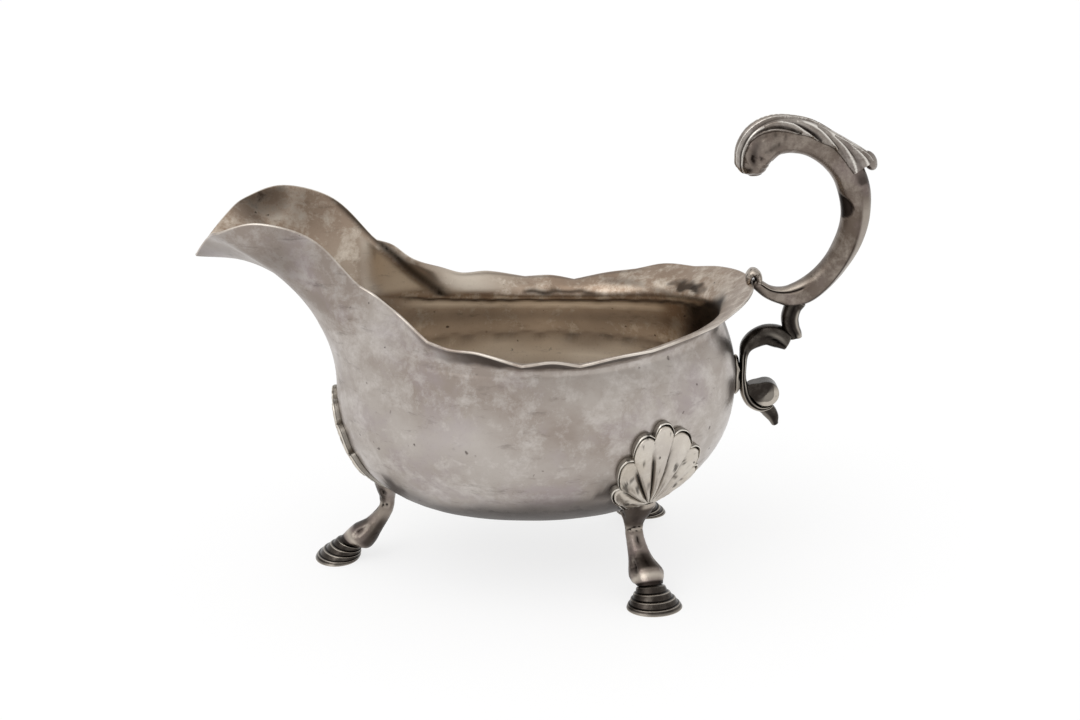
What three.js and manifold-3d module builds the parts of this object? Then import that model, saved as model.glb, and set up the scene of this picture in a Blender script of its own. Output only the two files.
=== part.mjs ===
// A sauce boat of sheet silver: a raised bowl with a waved, flared rim and a long spout, on three
// cast hoof feet with shell plates, and with a flying scroll handle of cast pieces.
// Millimetres. +X points to the handle and -X to the spout, +Z is up, and the feet stand on z = 0.

import * as THREE from 'three';
import { mergeVertices } from 'three/addons/utils/BufferGeometryUtils.js';
import Module from 'manifold-3d';

// Bowl
const wall = 1.0;               // thickness of the raised sheet
const bowlBottom = 13.9;        // underside of the bowl above the floor
const bowlDepth = 38.3;         // from the underside up to the belly, where the bowl is fullest
const bellyFront = 51.5;        // from the bowl's middle to its front, at the belly
const bellyRear = 53.6;         // from the bowl's middle to its rear, at the belly
const bellySide = 38.8;         // from the bowl's middle to either side, at the belly
const frontFullness = 2.6;      // the lower profile at the front: 2 is round, more is squarer
const rearFullness = 2.3;       // the lower profile at the rear
const sideFullness = 2.05;      // the lower profile seen from the end
const planFullness = 2.1;       // the plan: 2 is an ellipse, more is squarer

// Neck, the ring where the bowl ends and the flare begins
const neckRise = 10.7;          // above the belly, at the sides
const neckRiseFront = 5.8;      // higher than the sides by this, under the spout
const neckRiseRear = 4.8;       // higher than the sides by this, at the handle
const neckFrontOut = 4.4;       // beyond the belly, under the spout
const neckRearIn = 3.4;         // inside the belly, at the handle
const neckSideIn = 2.0;         // inside the belly, at the sides

// Spout and rim, as distances from the neck
const spoutReach = 30.9;        // the tip beyond the neck
const spoutTipRise = 15.7;      // the tip above the neck
const spoutCrestRise = 30.4;    // the spout's highest edge above the neck
const spoutSpread = 5.9;        // the spout's edge outside the neck, at its crest
const rearReach = 7.1;          // the rim beyond the neck, at the handle
const rearRise = 9.5;           // the rim above the neck, at the handle
const rearLean = 48;            // how far the wall leans out there, in degrees from upright

// Feet
const soleFrontX = -54.2;       // middle of the front sole
const soleRearX = 30.4;         // middle of the two rear soles
const soleRearY = 32.0;
const rearFootTurn = 75;        // degrees from straight back to the way the rear feet point
const rearKneeLean = 1.2;       // how far the rear knees lean toward the spout
const rearShellShift = 1.2;     // how far the rear shell plates lie toward the handle
const soleLength = 12.1;
const soleWidth = 14.6;
const hoofHeight = 5.7;         // at the toe side
const hoofHeelHeight = 3.3;
const hoofTopLength = 5.2;
const hoofTopWidth = 5.8;
const hoofTopOut = -3.7;        // the middle of the hoof's top, out from the sole's middle
const hoofTiers = 4;
const tierStep = 0.5;           // how far each tier of the hoof stands out over the next
const fetlockDepth = 6.4;       // the swelling above the hoof, fore and aft
const fetlockWidth = 8.6;
const fetlockIn = 3.7;          // its middle, in from the hoof's top and above it
const fetlockRise = 1.7;
const shankDepth = 3.8;         // the leg at its slimmest
const shankWidth = 4.2;
const shankIn = 9.6;            // in from the hoof's top
const kneeDepth = 7.0;          // the leg where it meets the shell plate
const kneeWidth = 7.4;

// Shell plates
const shellWidth = 22.4;
const shellHeight = 37;         // measured along the bowl
const shellThick = 1.5;
const shellGroove = 0.7;        // how much thinner the plate is between its lobes

// Handle
const mainScrollRise = 41.8;    // the main scroll's middle line, from its lowest place to its top
const lowerScrollRise = 20.1;   // the same on the lower scroll
const bridgeRise = 10.3;        // the same on the bridge between them
const voluteWidth = 8.6;        // the main scroll's width, across the boat, at its volute
const gripWidth = 8.0;          // at the rear, where the hand holds it
const scrollEndWidth = 4.4;     // at the rim
const leafThick = 1.4;          // the leaf that caps the main scroll
const leafTipRadius = 2.0;
const leafTipLength = 5.2;
const rimCurlRadius = 1.75;     // the small curl that grips the rim
const rimCurlWidth = 5.2;
const bridgeDepth = 4.8;
const bridgeWidth = 5.0;
const lowerWidth = 5.2;         // the lower scroll, across the boat
const lowerVoluteRadius = 3.45; // the lower scroll's round end
const tailWidth = 3.2;
const padHeight = 10.0;         // the soldered pad between the bowl and the lower scroll
const padWidth = 6.4;
const padThick = 0.7;
const padBelowNeck = 15.4;      // the pad's middle below the neck

const seam = 0.3;               // clearance at every soldered joint
const degree = Math.PI / 180;

const wasm = await Module();
wasm.setup();

const model = new THREE.Group();

// Finishes of the tarnished silver
const finishes = {
  outside: { color: 0xaaa19c, roughness: 0.36, metalness: 1 },
  cast: { color: 0x8d857c, roughness: 0.38, metalness: 1 },
  bright: { color: 0xbdb5a8, roughness: 0.32, metalness: 1 },
  dark: { color: 0x6c645c, roughness: 0.4, metalness: 1 },
};

function addNode(name, geometry, finish) {
  const mesh = new THREE.Mesh(geometry, new THREE.MeshStandardMaterial(finishes[finish]));
  mesh.name = name;
  model.add(mesh);
  return mesh;
}

// General shapes

function mix(a, b, share) {
  return a + (b - a) * share;
}

function signedPower(value, power) {
  return Math.sign(value) * Math.abs(value) ** power;
}

// Stops numbered in their order, as the places of a smooth run
function placed(stops) {
  return stops.map((stop, place) => ({ ...stop, place }));
}

// A smooth run through values that stand at given places, with a corner wherever a stop is marked
function smoothRun(stops, key, place, placeKey) {
  const last = stops.length - 2;
  let i = 0;
  while (i < last && place > stops[i + 1][placeKey]) i += 1;
  const slopeBetween = (a, b) => (stops[b][key] - stops[a][key]) / (stops[b][placeKey] - stops[a][placeKey]);
  const slopeAt = (k, inner) => {
    const atEnd = k === 0 || k === stops.length - 1 || stops[k].corner;
    return atEnd ? slopeBetween(i, i + 1) * inner : slopeBetween(k - 1, k + 1);
  };
  const length = stops[i + 1][placeKey] - stops[i][placeKey];
  const t = (place - stops[i][placeKey]) / length;
  const flatEnd = stops[i + 1].flat && key !== 'out' ? 0 : 1;
  const m0 = slopeAt(i, 1) * length;
  const m1 = slopeAt(i + 1, flatEnd) * length;
  const square = t * t;
  const cube = square * t;
  return (2 * cube - 3 * square + 1) * stops[i][key] + (cube - 2 * square + t) * m0
    + (3 * square - 2 * cube) * stops[i + 1][key] + (cube - square) * m1;
}

// A closed body between rings of equal count, with a fan at either end
function loft(rings) {
  const count = rings[0].length;
  const points = rings.flat();
  const faces = [];
  for (let r = 0; r + 1 < rings.length; r += 1) {
    for (let i = 0; i < count; i += 1) {
      const a = r * count + i;
      const b = r * count + (i + 1) % count;
      faces.push(a, b, b + count, a, b + count, a + count);
    }
  }
  for (const end of [0, rings.length - 1]) {
    const hub = points.length;
    const middle = new THREE.Vector3();
    for (const p of rings[end]) middle.addScaledVector(p, 1 / count);
    points.push(middle);
    for (let i = 0; i < count; i += 1) {
      const a = end * count + i;
      const b = end * count + (i + 1) % count;
      if (end === 0) faces.push(hub, b, a);
      else faces.push(hub, a, b);
    }
  }
  return closedGeometry(points, faces);
}

// Faces of a closed body, turned outward whichever way round they were listed
function closedGeometry(points, faces) {
  let volume = 0;
  for (let f = 0; f < faces.length; f += 3) {
    const [a, b, c] = [points[faces[f]], points[faces[f + 1]], points[faces[f + 2]]];
    volume += a.dot(b.clone().cross(c));
  }
  if (volume < 0) faces.reverse();
  const geometry = new THREE.BufferGeometry().setFromPoints(points);
  geometry.setIndex(faces);
  return geometry;
}

function toSolid(geometry) {
  const bare = geometry.clone();
  bare.deleteAttribute('normal');
  bare.deleteAttribute('uv');
  const merged = mergeVertices(bare, 1e-4);
  return new wasm.Manifold(new wasm.Mesh({
    numProp: 3,
    vertProperties: new Float32Array(merged.attributes.position.array),
    triVerts: new Uint32Array(merged.index.array),
  }));
}

function toGeometry(solid) {
  const mesh = solid.getMesh();
  const geometry = new THREE.BufferGeometry();
  geometry.setAttribute('position', new THREE.BufferAttribute(new Float32Array(mesh.vertProperties), 3));
  geometry.setIndex(new THREE.BufferAttribute(new Uint32Array(mesh.triVerts), 1));
  return geometry;
}

// Bowl

const bowlMiddleX = -1.0;       // where the front and rear halves of the bowl meet
const bellyHeight = bowlBottom + bowlDepth;
const neckFront = bellyFront + neckFrontOut;
const neckRear = bellyRear - neckRearIn;
const neckSide = bellySide - neckSideIn;

// Reach to the front, reach to the rear and half width of the bowl at a height up to the neck
function planAt(height, neckZ) {
  const below = Math.min(1, Math.max(0, (bellyHeight - height) / bowlDepth));
  const above = Math.max(0, (height - bellyHeight) / (neckZ - bellyHeight));
  const filled = (fullness) => (1 - below ** fullness) ** (1 / fullness);
  return {
    front: filled(frontFullness) * mix(bellyFront, neckFront, above * above),
    rear: filled(rearFullness) * mix(bellyRear, neckRear, above * above),
    side: filled(sideFullness) * mix(bellySide, neckSide, above * above),
  };
}

function neckHeightAt(turn) {
  const c = Math.cos(turn * degree);
  return bellyHeight + neckRise + (c > 0 ? neckRiseFront : neckRiseRear) * c * c;
}

// A point of the bowl at a turn from the front, and a height
function bowlPoint(turn, height) {
  const c = signedPower(Math.cos(turn * degree), 2 / planFullness);
  const s = signedPower(Math.sin(turn * degree), 2 / planFullness);
  const plan = planAt(height, neckHeightAt(turn));
  const x = bowlMiddleX - c * (c > 0 ? plan.front : plan.rear);
  return new THREE.Vector3(x, -s * plan.side, height);
}

// Rim, from the tip of the spout to the rear: turn round the neck in degrees, then how far the edge
// stands to the rear, outward and above the neck there, and how far its wall leans outward
const rimStops = [
  { turn: 0, back: -spoutReach, out: 0, up: spoutTipRise, lean: 84, corner: true },
  { turn: 10, back: -25.7, out: 5.6, up: 23.7, lean: 62 },
  { turn: 18, back: -23.7, out: 8.6, up: 26.8, lean: 46 },
  { turn: 27, back: -16.9, out: spoutSpread, up: spoutCrestRise, lean: 28 },
  { turn: 36, back: -8.2, out: 1.8, up: 27.5, lean: 16 },
  { turn: 46, back: -3.0, out: -2.5, up: 16.9, lean: 10, corner: true },
  { turn: 50, back: -1.5, out: -1.9, up: 15.2, lean: 12 },
  { turn: 55, back: 0, out: -2.7, up: 11.5, lean: 12 },
  { turn: 64, back: 0, out: 2.3, up: 7.6, lean: 45, corner: true },
  { turn: 70, back: 0.1, out: 2.0, up: 6.3, lean: 45 },
  { turn: 78, back: -0.3, out: 3.2, up: 6.5, lean: 55 },
  { turn: 88, back: 0, out: 5.2, up: 4.4, lean: 68, corner: true },
  { turn: 96, back: -0.8, out: 4.4, up: 5.0, lean: 62 },
  { turn: 104, back: -1.2, out: 4.7, up: 3.7, lean: 68, corner: true },
  { turn: 114, back: -0.3, out: 6.2, up: 5.3, lean: 62 },
  { turn: 123, back: 1.2, out: 7.8, up: 6.0, lean: 60, corner: true },
  { turn: 131, back: 3.4, out: 8.4, up: 7.5, lean: 56 },
  { turn: 142, back: 5.1, out: 5.9, up: 7.7, lean: 54, corner: true },
  { turn: 152, back: 6.6, out: 3.4, up: 8.9, lean: 50 },
  { turn: 180, back: rearReach, out: 0, up: rearRise, lean: rearLean, flat: true },
];

const turnStep = 5;             // degrees between the bowl's upright rows of points

function rimTurns() {
  const turns = [0];
  for (let i = 0; i + 1 < rimStops.length; i += 1) {
    const span = rimStops[i + 1].turn - rimStops[i].turn;
    const steps = Math.max(1, Math.round(span / turnStep));
    for (let k = 1; k <= steps; k += 1) turns.push(rimStops[i].turn + span * k / steps);
  }
  return turns;
}

const leaveNeck = 0.42;         // how far the flare keeps its first and last directions, as shares
const arriveRim = 0.3;          // of the way across it

// The flare as a curve from the neck to the rim: it leaves the neck as the bowl leans there
function flareCurve(turn) {
  const neckZ = neckHeightAt(turn);
  const start = bowlPoint(turn, neckZ);
  const leave = start.clone().sub(bowlPoint(turn, neckZ - 1)).normalize();
  const rim = {};
  for (const key of ['back', 'out', 'up', 'lean']) rim[key] = smoothRun(rimStops, key, turn, 'turn');
  const end = new THREE.Vector3(start.x + rim.back, start.y - rim.out, start.z + rim.up);
  const reach = turn < 90 ? neckFront : neckRear;
  const outward = new THREE.Vector3(
    -Math.cos(turn * degree) / reach,
    -Math.sin(turn * degree) / neckSide,
    0,
  ).normalize();
  const lean = rim.lean * degree;
  const arrive = outward.multiplyScalar(Math.sin(lean)).add(new THREE.Vector3(0, 0, Math.cos(lean)));
  const across = start.distanceTo(end);
  return new THREE.CubicBezierCurve3(
    start,
    start.clone().addScaledVector(leave, leaveNeck * across),
    end.clone().addScaledVector(arrive, -arriveRim * across),
    end,
  );
}

const bowlRows = 8;             // rings from the bottom to the belly
const neckRows = 3;             // rings from the belly to the neck
const flareRows = 7;            // rings from the neck to the rim

// One upright row of points on the outside, from the bottom up to the neck or the rim
function uprightRow(turn, withFlare) {
  const row = [];
  for (let k = 1; k <= bowlRows; k += 1) {
    const share = (1 - Math.cos(90 * degree * k / bowlRows)) ** (2 / sideFullness);
    row.push(bowlPoint(turn, mix(bowlBottom, bellyHeight, share)));
  }
  const neckZ = neckHeightAt(turn);
  for (let k = 1; k <= neckRows; k += 1) {
    row.push(bowlPoint(turn, mix(bellyHeight, neckZ, k / neckRows)));
  }
  if (withFlare) {
    const curve = flareCurve(turn);
    for (let k = 1; k <= flareRows; k += 1) row.push(curve.getPoint(k / flareRows));
  }
  return row;
}

// The bowl's outside as a grid of rings, all the way round, with each point's outward direction
function bowlGrid(withFlare) {
  const half = rimTurns().map((turn) => uprightRow(turn, withFlare));
  for (const row of [half[0], half[half.length - 1]]) {
    for (const p of row) p.y = 0;
  }
  const other = half.slice(1, -1).reverse()
    .map((row) => row.map((p) => new THREE.Vector3(p.x, -p.y, p.z)));
  const columns = half.concat(other);
  const rings = columns[0].map((unused, level) => columns.map((column) => column[level]));
  const pole = new THREE.Vector3(bowlMiddleX, 0, bowlBottom);
  return { rings, pole, outward: outwardDirections(rings, pole) };
}

function outwardDirections(rings, pole) {
  const count = rings[0].length;
  const sheet = new THREE.BufferGeometry().setFromPoints([pole, ...rings.flat()]);
  sheet.setIndex(ringFaces(rings.length, count, 0, false));
  sheet.computeVertexNormals();
  const normals = sheet.attributes.normal;
  const sign = normals.getZ(0) < 0 ? 1 : -1;
  const direction = (k) => new THREE.Vector3().fromBufferAttribute(normals, k).multiplyScalar(sign);
  return {
    pole: direction(0),
    rings: rings.map((ring, r) => ring.map((unused, i) => direction(1 + r * count + i))),
  };
}

// Triangles of a cup: a fan round its pole, then bands between its rings, which follow the pole
function ringFaces(levels, count, pole, turnedOver) {
  const faces = [];
  const add = (a, b, c) => (turnedOver ? faces.push(a, c, b) : faces.push(a, b, c));
  const first = pole + 1;
  for (let i = 0; i < count; i += 1) {
    const next = (i + 1) % count;
    add(pole, first + next, first + i);
    for (let r = 0; r + 1 < levels; r += 1) {
      const a = first + r * count + i;
      const b = first + r * count + next;
      add(a, b, b + count);
      add(a, b + count, a + count);
    }
  }
  return faces;
}

function bodyShell() {
  const grid = bowlGrid(true);
  const levels = grid.rings.length;
  const count = grid.rings[0].length;
  const outside = [grid.pole, ...grid.rings.flat()];
  const directions = [grid.outward.pole, ...grid.outward.rings.flat()];
  const inside = outside.map((p, k) => p.clone().addScaledVector(directions[k], -wall));
  const second = outside.length;
  const faces = ringFaces(levels, count, 0, false).concat(ringFaces(levels, count, second, true));
  const top = 1 + (levels - 1) * count;
  for (let i = 0; i < count; i += 1) {
    const a = top + i;
    const b = top + (i + 1) % count;
    faces.push(a, b, b + second, a, b + second, a + second);
  }
  return closedGeometry(outside.concat(inside), faces);
}

// The bowl up to its neck as a full solid, grown outward by a distance
function grownBowl(distance) {
  const grid = bowlGrid(false);
  const grown = grid.rings.map((ring, r) => ring
    .map((p, i) => p.clone().addScaledVector(grid.outward.rings[r][i], distance)));
  return toSolid(loft(grown));
}

// Where a line from inside the bowl leaves it
function leaveBowl(from, direction) {
  let near = 0;
  let far = 2 * neckFront;
  for (let k = 0; k < 40; k += 1) {
    const middle = (near + far) / 2;
    if (bowlShare(from.clone().addScaledVector(direction, middle)) < 1) near = middle;
    else far = middle;
  }
  return from.clone().addScaledVector(direction, near);
}

// How far out a point lies, where 1 is on the bowl's outside
function bowlShare(p) {
  if (p.z <= bowlBottom) return 2;
  const turn = Math.atan2(Math.abs(p.y), bowlMiddleX - p.x) / degree;
  const plan = planAt(p.z, neckHeightAt(turn));
  const reach = p.x < bowlMiddleX ? plan.front : plan.rear;
  return (Math.abs(p.x - bowlMiddleX) / reach) ** planFullness + (Math.abs(p.y) / plan.side) ** planFullness;
}

// The way the bowl's outside faces at a point on it
function bowlFacing(p) {
  const h = 0.05;
  const slope = (axis) => {
    const step = new THREE.Vector3().setComponent(axis, h);
    return bowlShare(p.clone().add(step)) - bowlShare(p.clone().sub(step));
  };
  return new THREE.Vector3(slope(0), slope(1), slope(2)).normalize();
}

// Feet. A foot stands at its sole's middle and points outward along its heading,
// and its knee and its shell plate may stand a little to one side
const feet = [
  { name: 'front', sole: new THREE.Vector3(soleFrontX, 0, 0), heading: 180, side: 0 },
  { name: 'rear_left', sole: new THREE.Vector3(soleRearX, -soleRearY, 0), heading: -rearFootTurn, side: 1 },
  { name: 'rear_right', sole: new THREE.Vector3(soleRearX, soleRearY, 0), heading: rearFootTurn, side: -1 },
];

function headingOf(foot) {
  return new THREE.Vector3(Math.cos(foot.heading * degree), Math.sin(foot.heading * degree), 0);
}

function onFoot(foot, out, side, up) {
  const outward = headingOf(foot);
  const across = new THREE.Vector3(-outward.y, outward.x, 0);
  const point = foot.sole.clone().addScaledVector(outward, out).addScaledVector(across, side);
  point.z = up;
  return point;
}

// Shell plate: a fan of lobes that lies on the bowl above its leg. Half its outline, from the top
// lobe down to the root: shares of its half width and of its height, and how proud it stands there
const shellOutline = [
  { across: 0, up: 1, proud: 1 },
  { across: 0.26, up: 0.985, proud: 0.9 },
  { across: 0.385, up: 0.892, proud: 0 },
  { across: 0.54, up: 0.905, proud: 0.9 },
  { across: 0.7, up: 0.84, proud: 0.9 },
  { across: 0.7, up: 0.73, proud: 0 },
  { across: 0.9, up: 0.7, proud: 0.9 },
  { across: 1, up: 0.59, proud: 0.9 },
  { across: 0.89, up: 0.492, proud: 0 },
  { across: 0.99, up: 0.42, proud: 0.9 },
  { across: 0.92, up: 0.324, proud: 0.9 },
  { across: 0.58, up: 0.3, proud: 0.2 },
  { across: 0.4, up: 0.25, proud: 1 },
  { across: 0.35, up: 0.14, proud: 1 },
  { across: 0.3, up: 0.03, proud: 1 },
  { across: 0, up: 0, proud: 1 },
];

const shellHub = 0.35;          // where its lobes meet, as a share of the plate's height
const shellBands = 4;
const shellFocusIn = 24;        // the plate wraps round a level line this far in from the sole
const shellFocusDrop = 6.5;     // and this far below the belly
const shellStart = -74 * degree;

function shellFocus(foot, across) {
  return onFoot(foot, -shellFocusIn, across + foot.side * rearShellShift, bellyHeight - shellFocusDrop);
}

// The point of the bowl under a place on the plate, pushed outward by a lift
function underShell(foot, across, up, lift) {
  const reach = leaveBowl(shellFocus(foot, 0), tilted(foot, shellStart)).distanceTo(shellFocus(foot, 0));
  const point = leaveBowl(shellFocus(foot, across), tilted(foot, shellStart + up / reach));
  return point.addScaledVector(bowlFacing(point), lift);
}

function tilted(foot, angle) {
  const direction = headingOf(foot).multiplyScalar(Math.cos(angle));
  direction.z = Math.sin(angle);
  return direction;
}

function shellPlate(foot) {
  const left = shellOutline.slice(1, -1).reverse().map((stop) => ({ ...stop, across: -stop.across }));
  const around = shellOutline.concat(left);
  const layer = (over) => {
    const rings = [];
    for (let band = 1; band <= shellBands; band += 1) {
      const share = band / shellBands;
      rings.push(around.map((stop) => {
        const across = stop.across * share * shellWidth / 2;
        const up = mix(shellHub, stop.up, share) * shellHeight;
        const groove = shellGroove * (1 - stop.proud) * share;
        return underShell(foot, across, up, over ? seam + shellThick - groove : seam);
      }));
    }
    return rings;
  };
  return loft([...layer(false), ...layer(true).reverse()]);
}

// Hoof: tiers stacked over a flat sole, which tip forward as they rise. A level gives the toe, the
// heel and the width of the hoof at a share of its height
function hoofLevel(share, outset) {
  const topToe = hoofTopOut + hoofTopLength / 2;
  const topHeel = hoofTopOut - hoofTopLength / 2;
  const swell = outset * Math.min(1, share * hoofTiers);
  return {
    toe: mix(soleLength / 2, topToe, share ** toeCurve) + swell,
    heel: mix(-soleLength / 2, topHeel, share ** heelCurve),
    toeUp: hoofHeight * share,
    heelUp: hoofHeelHeight * share,
    half: mix(soleWidth, hoofTopWidth, share) / 2 + swell,
  };
}

const toeCurve = 1.2;           // over 1 the hoof's side bulges outward, under 1 it is hollow
const heelCurve = 0.6;
const tierWall = 0.8;           // how much of a tier's height is its own wall
const hoofSides = 20;

function hoofRing(foot, level) {
  const ring = [];
  for (let i = 0; i < hoofSides; i += 1) {
    const angle = 360 * degree * i / hoofSides;
    const share = (1 + Math.cos(angle)) / 2;
    const out = mix(level.heel, level.toe, share);
    const up = mix(level.heelUp, level.toeUp, share);
    ring.push(onFoot(foot, out, Math.sin(angle) * level.half, up));
  }
  return ring;
}

function hoof(foot) {
  const rings = [];
  for (let tier = 0; tier < hoofTiers; tier += 1) {
    const lower = tier / hoofTiers;
    const upper = (tier + tierWall) / hoofTiers;
    rings.push(hoofRing(foot, hoofLevel(lower, tier ? tierStep : 0)));
    rings.push(hoofRing(foot, hoofLevel(upper, tierStep)));
  }
  rings.push(hoofRing(foot, hoofLevel(1, 0)));
  return loft(rings);
}

// Leg, from its knee on the shell plate down to the hoof. The knee is where the bowl is, and the
// fetlock goes with the hoof: out from the sole's middle, height, side step and the leg's size
function legStops(foot) {
  const root = underShell(foot, 0, kneeDepth / 2, 0);
  const rootOut = root.clone().sub(foot.sole).dot(headingOf(foot));
  const tip = hoofLevel(1, 0);
  const lean = -foot.side * rearKneeLean;
  const shankOut = hoofTopOut - shankIn;
  const fetlockOut = hoofTopOut - fetlockIn;
  const fetlockUp = hoofHeight + fetlockRise;
  const shankUp = mix(fetlockUp, root.z, 0.36);
  const thick = { depth: shankDepth + 0.4, width: shankWidth + 0.6 };
  const slim = { depth: shankDepth, width: shankWidth };
  return placed([
    { out: rootOut + 0.3, up: root.z + 1.2, side: lean, depth: kneeDepth, width: kneeWidth },
    { out: rootOut, up: root.z - 1.0, side: lean, depth: kneeDepth, width: kneeWidth },
    { out: mix(rootOut, shankOut, 0.7), up: mix(shankUp, root.z, 0.5), side: lean, ...thick },
    { out: shankOut, up: shankUp, side: lean, ...slim },
    { out: mix(fetlockOut, shankOut, 0.51), up: mix(fetlockUp, shankUp, 0.42), side: 0.7 * lean, ...slim },
    { out: fetlockOut, up: fetlockUp, side: 0, depth: fetlockDepth, width: fetlockWidth },
    {
      out: (tip.toe + tip.heel) / 2 - 0.5 * seam,
      up: (tip.toeUp + tip.heelUp) / 2 + seam,
      side: 0,
      depth: hoofTopLength,
      width: hoofTopWidth,
    },
  ]);
}

const legSteps = 15;
const legSides = 12;

function leg(foot) {
  const stops = legStops(foot);
  const last = stops.length - 1;
  const endTilt = Math.atan2(hoofHeight - hoofHeelHeight, hoofTopLength);
  const rings = [];
  for (let k = 0; k <= legSteps; k += 1) {
    const place = last * k / legSteps;
    const at = (key, where) => smoothRun(stops, key, where, 'place');
    const ahead = Math.min(place + 0.01, last);
    const outRun = at('out', ahead) - at('out', ahead - 0.02);
    const downRun = at('up', ahead - 0.02) - at('up', ahead);
    const tilt = mix(Math.atan2(outRun, downRun), endTilt, Math.max(0, place - last + 1));
    const ring = [];
    for (let i = 0; i < legSides; i += 1) {
      const angle = 360 * degree * i / legSides;
      const along = Math.cos(angle) * at('depth', place) / 2;
      const side = at('side', place) + Math.sin(angle) * at('width', place) / 2;
      const out = at('out', place) + along * Math.cos(tilt);
      ring.push(onFoot(foot, out, side, at('up', place) + along * Math.sin(tilt)));
    }
    rings.push(ring);
  }
  return toGeometry(toSolid(loft(rings)).subtract(grownBowl(seam + shellThick + seam)));
}

// Handle. It is laid out in the boat's middle plane as distances behind and above two places where
// it is soldered: the rear of the rim, and the bowl's rear wall at the middle of the pad

const rimRear = flareCurve(180).getPoint(1);
const wallRear = bowlPoint(180, neckHeightAt(180) - padBelowNeck);

// An outline's own height, which its drawn steps are scaled by
function drawnRise(outline) {
  const heights = outline.map(([, z]) => z);
  return Math.max(...heights) - Math.min(...heights);
}

// Stops of a bar from its outline: steps behind and above an origin, depth, and width
function sized(origin, scale, outline) {
  return placed(outline.map(([x, z, depth, width]) => ({
    x: origin.x + scale * x,
    z: origin.z + scale * z,
    depth: scale * depth,
    width,
  })));
}

// The middle of a bar at a place along it, its sizes there, and the way to its outer side
function barFrame(stops, place) {
  const last = stops.length - 1;
  const at = (key, where) => smoothRun(stops, key, where, 'place');
  const ahead = Math.min(place + 0.01, last);
  const back = Math.max(ahead - 0.02, 0);
  const run = new THREE.Vector2(at('x', ahead) - at('x', back), at('z', ahead) - at('z', back)).normalize();
  return {
    middle: new THREE.Vector3(at('x', place), 0, at('z', place)),
    depth: at('depth', place),
    width: at('width', place),
    run: new THREE.Vector3(run.x, 0, run.y),
    outer: new THREE.Vector3(-run.y, 0, run.x),
  };
}

// A point on a bar's side at an angle from its outer edge, on a skin grown by a distance
function barPoint(frame, angle, squareness, grown) {
  const u = signedPower(Math.cos(angle), 2 / squareness) * (frame.depth / 2 + grown);
  const v = signedPower(Math.sin(angle), 2 / squareness) * (frame.width / 2 + grown);
  const point = frame.middle.clone().addScaledVector(frame.outer, u);
  point.y = v;
  return point;
}

function bar(stops, steps, sides, squareness, grown = 0) {
  const last = stops.length - 1;
  const rings = [];
  for (let k = 0; k <= steps; k += 1) {
    const frame = barFrame(stops, last * k / steps);
    if (k === 0) frame.middle.addScaledVector(frame.run, -grown);
    if (k === steps) frame.middle.addScaledVector(frame.run, grown);
    const ring = [];
    for (let i = 0; i < sides; i += 1) {
      ring.push(barPoint(frame, 360 * degree * i / sides, squareness, grown));
    }
    rings.push(ring);
  }
  return loft(rings);
}

// Main scroll, from the tip of its volute over the top, down the grip and in to the rim
const mainOutline = [
  [-0.3, 28.5, 2.8, voluteWidth * 0.5],
  [-0.4, 29.3, 5.4, voluteWidth * 0.75],
  [-0.6, 30.6, 7.2, voluteWidth * 0.92],
  [-0.6, 32.3, 7.9, voluteWidth],
  [0.0, 34.4, 9.0, voluteWidth],
  [1.7, 36.7, 9.5, voluteWidth],
  [4.4, 38.2, 9.1, voluteWidth],
  [8.2, 38.5, 8.4, voluteWidth],
  [12.3, 37.8, 7.9, gripWidth],
  [16.0, 36.0, 7.4, gripWidth],
  [19.9, 33.2, 7.6, gripWidth],
  [23.3, 29.4, 8.2, gripWidth],
  [25.2, 24.6, 8.2, gripWidth],
  [25.9, 19.4, 7.6, gripWidth],
  [25.5, 14.9, 7.2, gripWidth],
  [24.0, 10.2, 6.9, gripWidth],
  [21.4, 5.4, 6.4, mix(gripWidth, scrollEndWidth, 0.2)],
  [18.0, 1.2, 6.4, mix(gripWidth, scrollEndWidth, 0.35)],
  [14.2, -1.9, 6.6, mix(gripWidth, scrollEndWidth, 0.5)],
  [10.6, -3.3, 6.0, mix(gripWidth, scrollEndWidth, 0.7)],
  [7.2, -3.2, 4.4, mix(gripWidth, scrollEndWidth, 0.9)],
  [4.2, -2.3, 3.5, scrollEndWidth],
  [1.1, -0.5, 2.7, scrollEndWidth],
];
const mainScale = mainScrollRise / drawnRise(mainOutline);
const mainStops = sized(rimRear, mainScale, mainOutline);
const mainSteps = 48;
const mainSides = 12;
const mainSquareness = 2.4;     // its section: 2 is round, more is squarer

// Leaf on the main scroll: a thin cap over its outer side, whose tip lifts off at the rear
const leafStart = 2.6;          // places along the main scroll
const leafLifts = 9.0;
const leafEnd = 11.0;
const leafLift = 1.0;
const leafHalfAngle = 80 * degree;
const leafSteps = 26;
const leafSides = 7;

function leafFrame(place) {
  const frame = barFrame(mainStops, place);
  const lift = Math.max(0, (place - leafLifts) / (leafEnd - leafLifts)) ** 2 * leafLift;
  frame.middle.addScaledVector(frame.outer, lift);
  return frame;
}

function leafCap() {
  const rings = [];
  for (let k = 0; k <= leafSteps; k += 1) {
    const share = k / leafSteps;
    const frame = leafFrame(mix(leafStart, leafEnd, share));
    const taper = Math.min(1, 0.35 + 4 * share, 0.45 + 2.4 * (1 - share));
    const over = [];
    const under = [];
    for (let i = 0; i < leafSides; i += 1) {
      const side = 2 * i / (leafSides - 1) - 1;
      const angle = side * leafHalfAngle * taper;
      const thick = leafThick * (0.35 + 0.65 * (1 - side * side)) * taper;
      over.push(barPoint(frame, angle, mainSquareness, seam + thick));
      under.unshift(barPoint(frame, angle, mainSquareness, seam));
    }
    rings.push([...over, ...under]);
  }
  return loft(rings);
}

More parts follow.
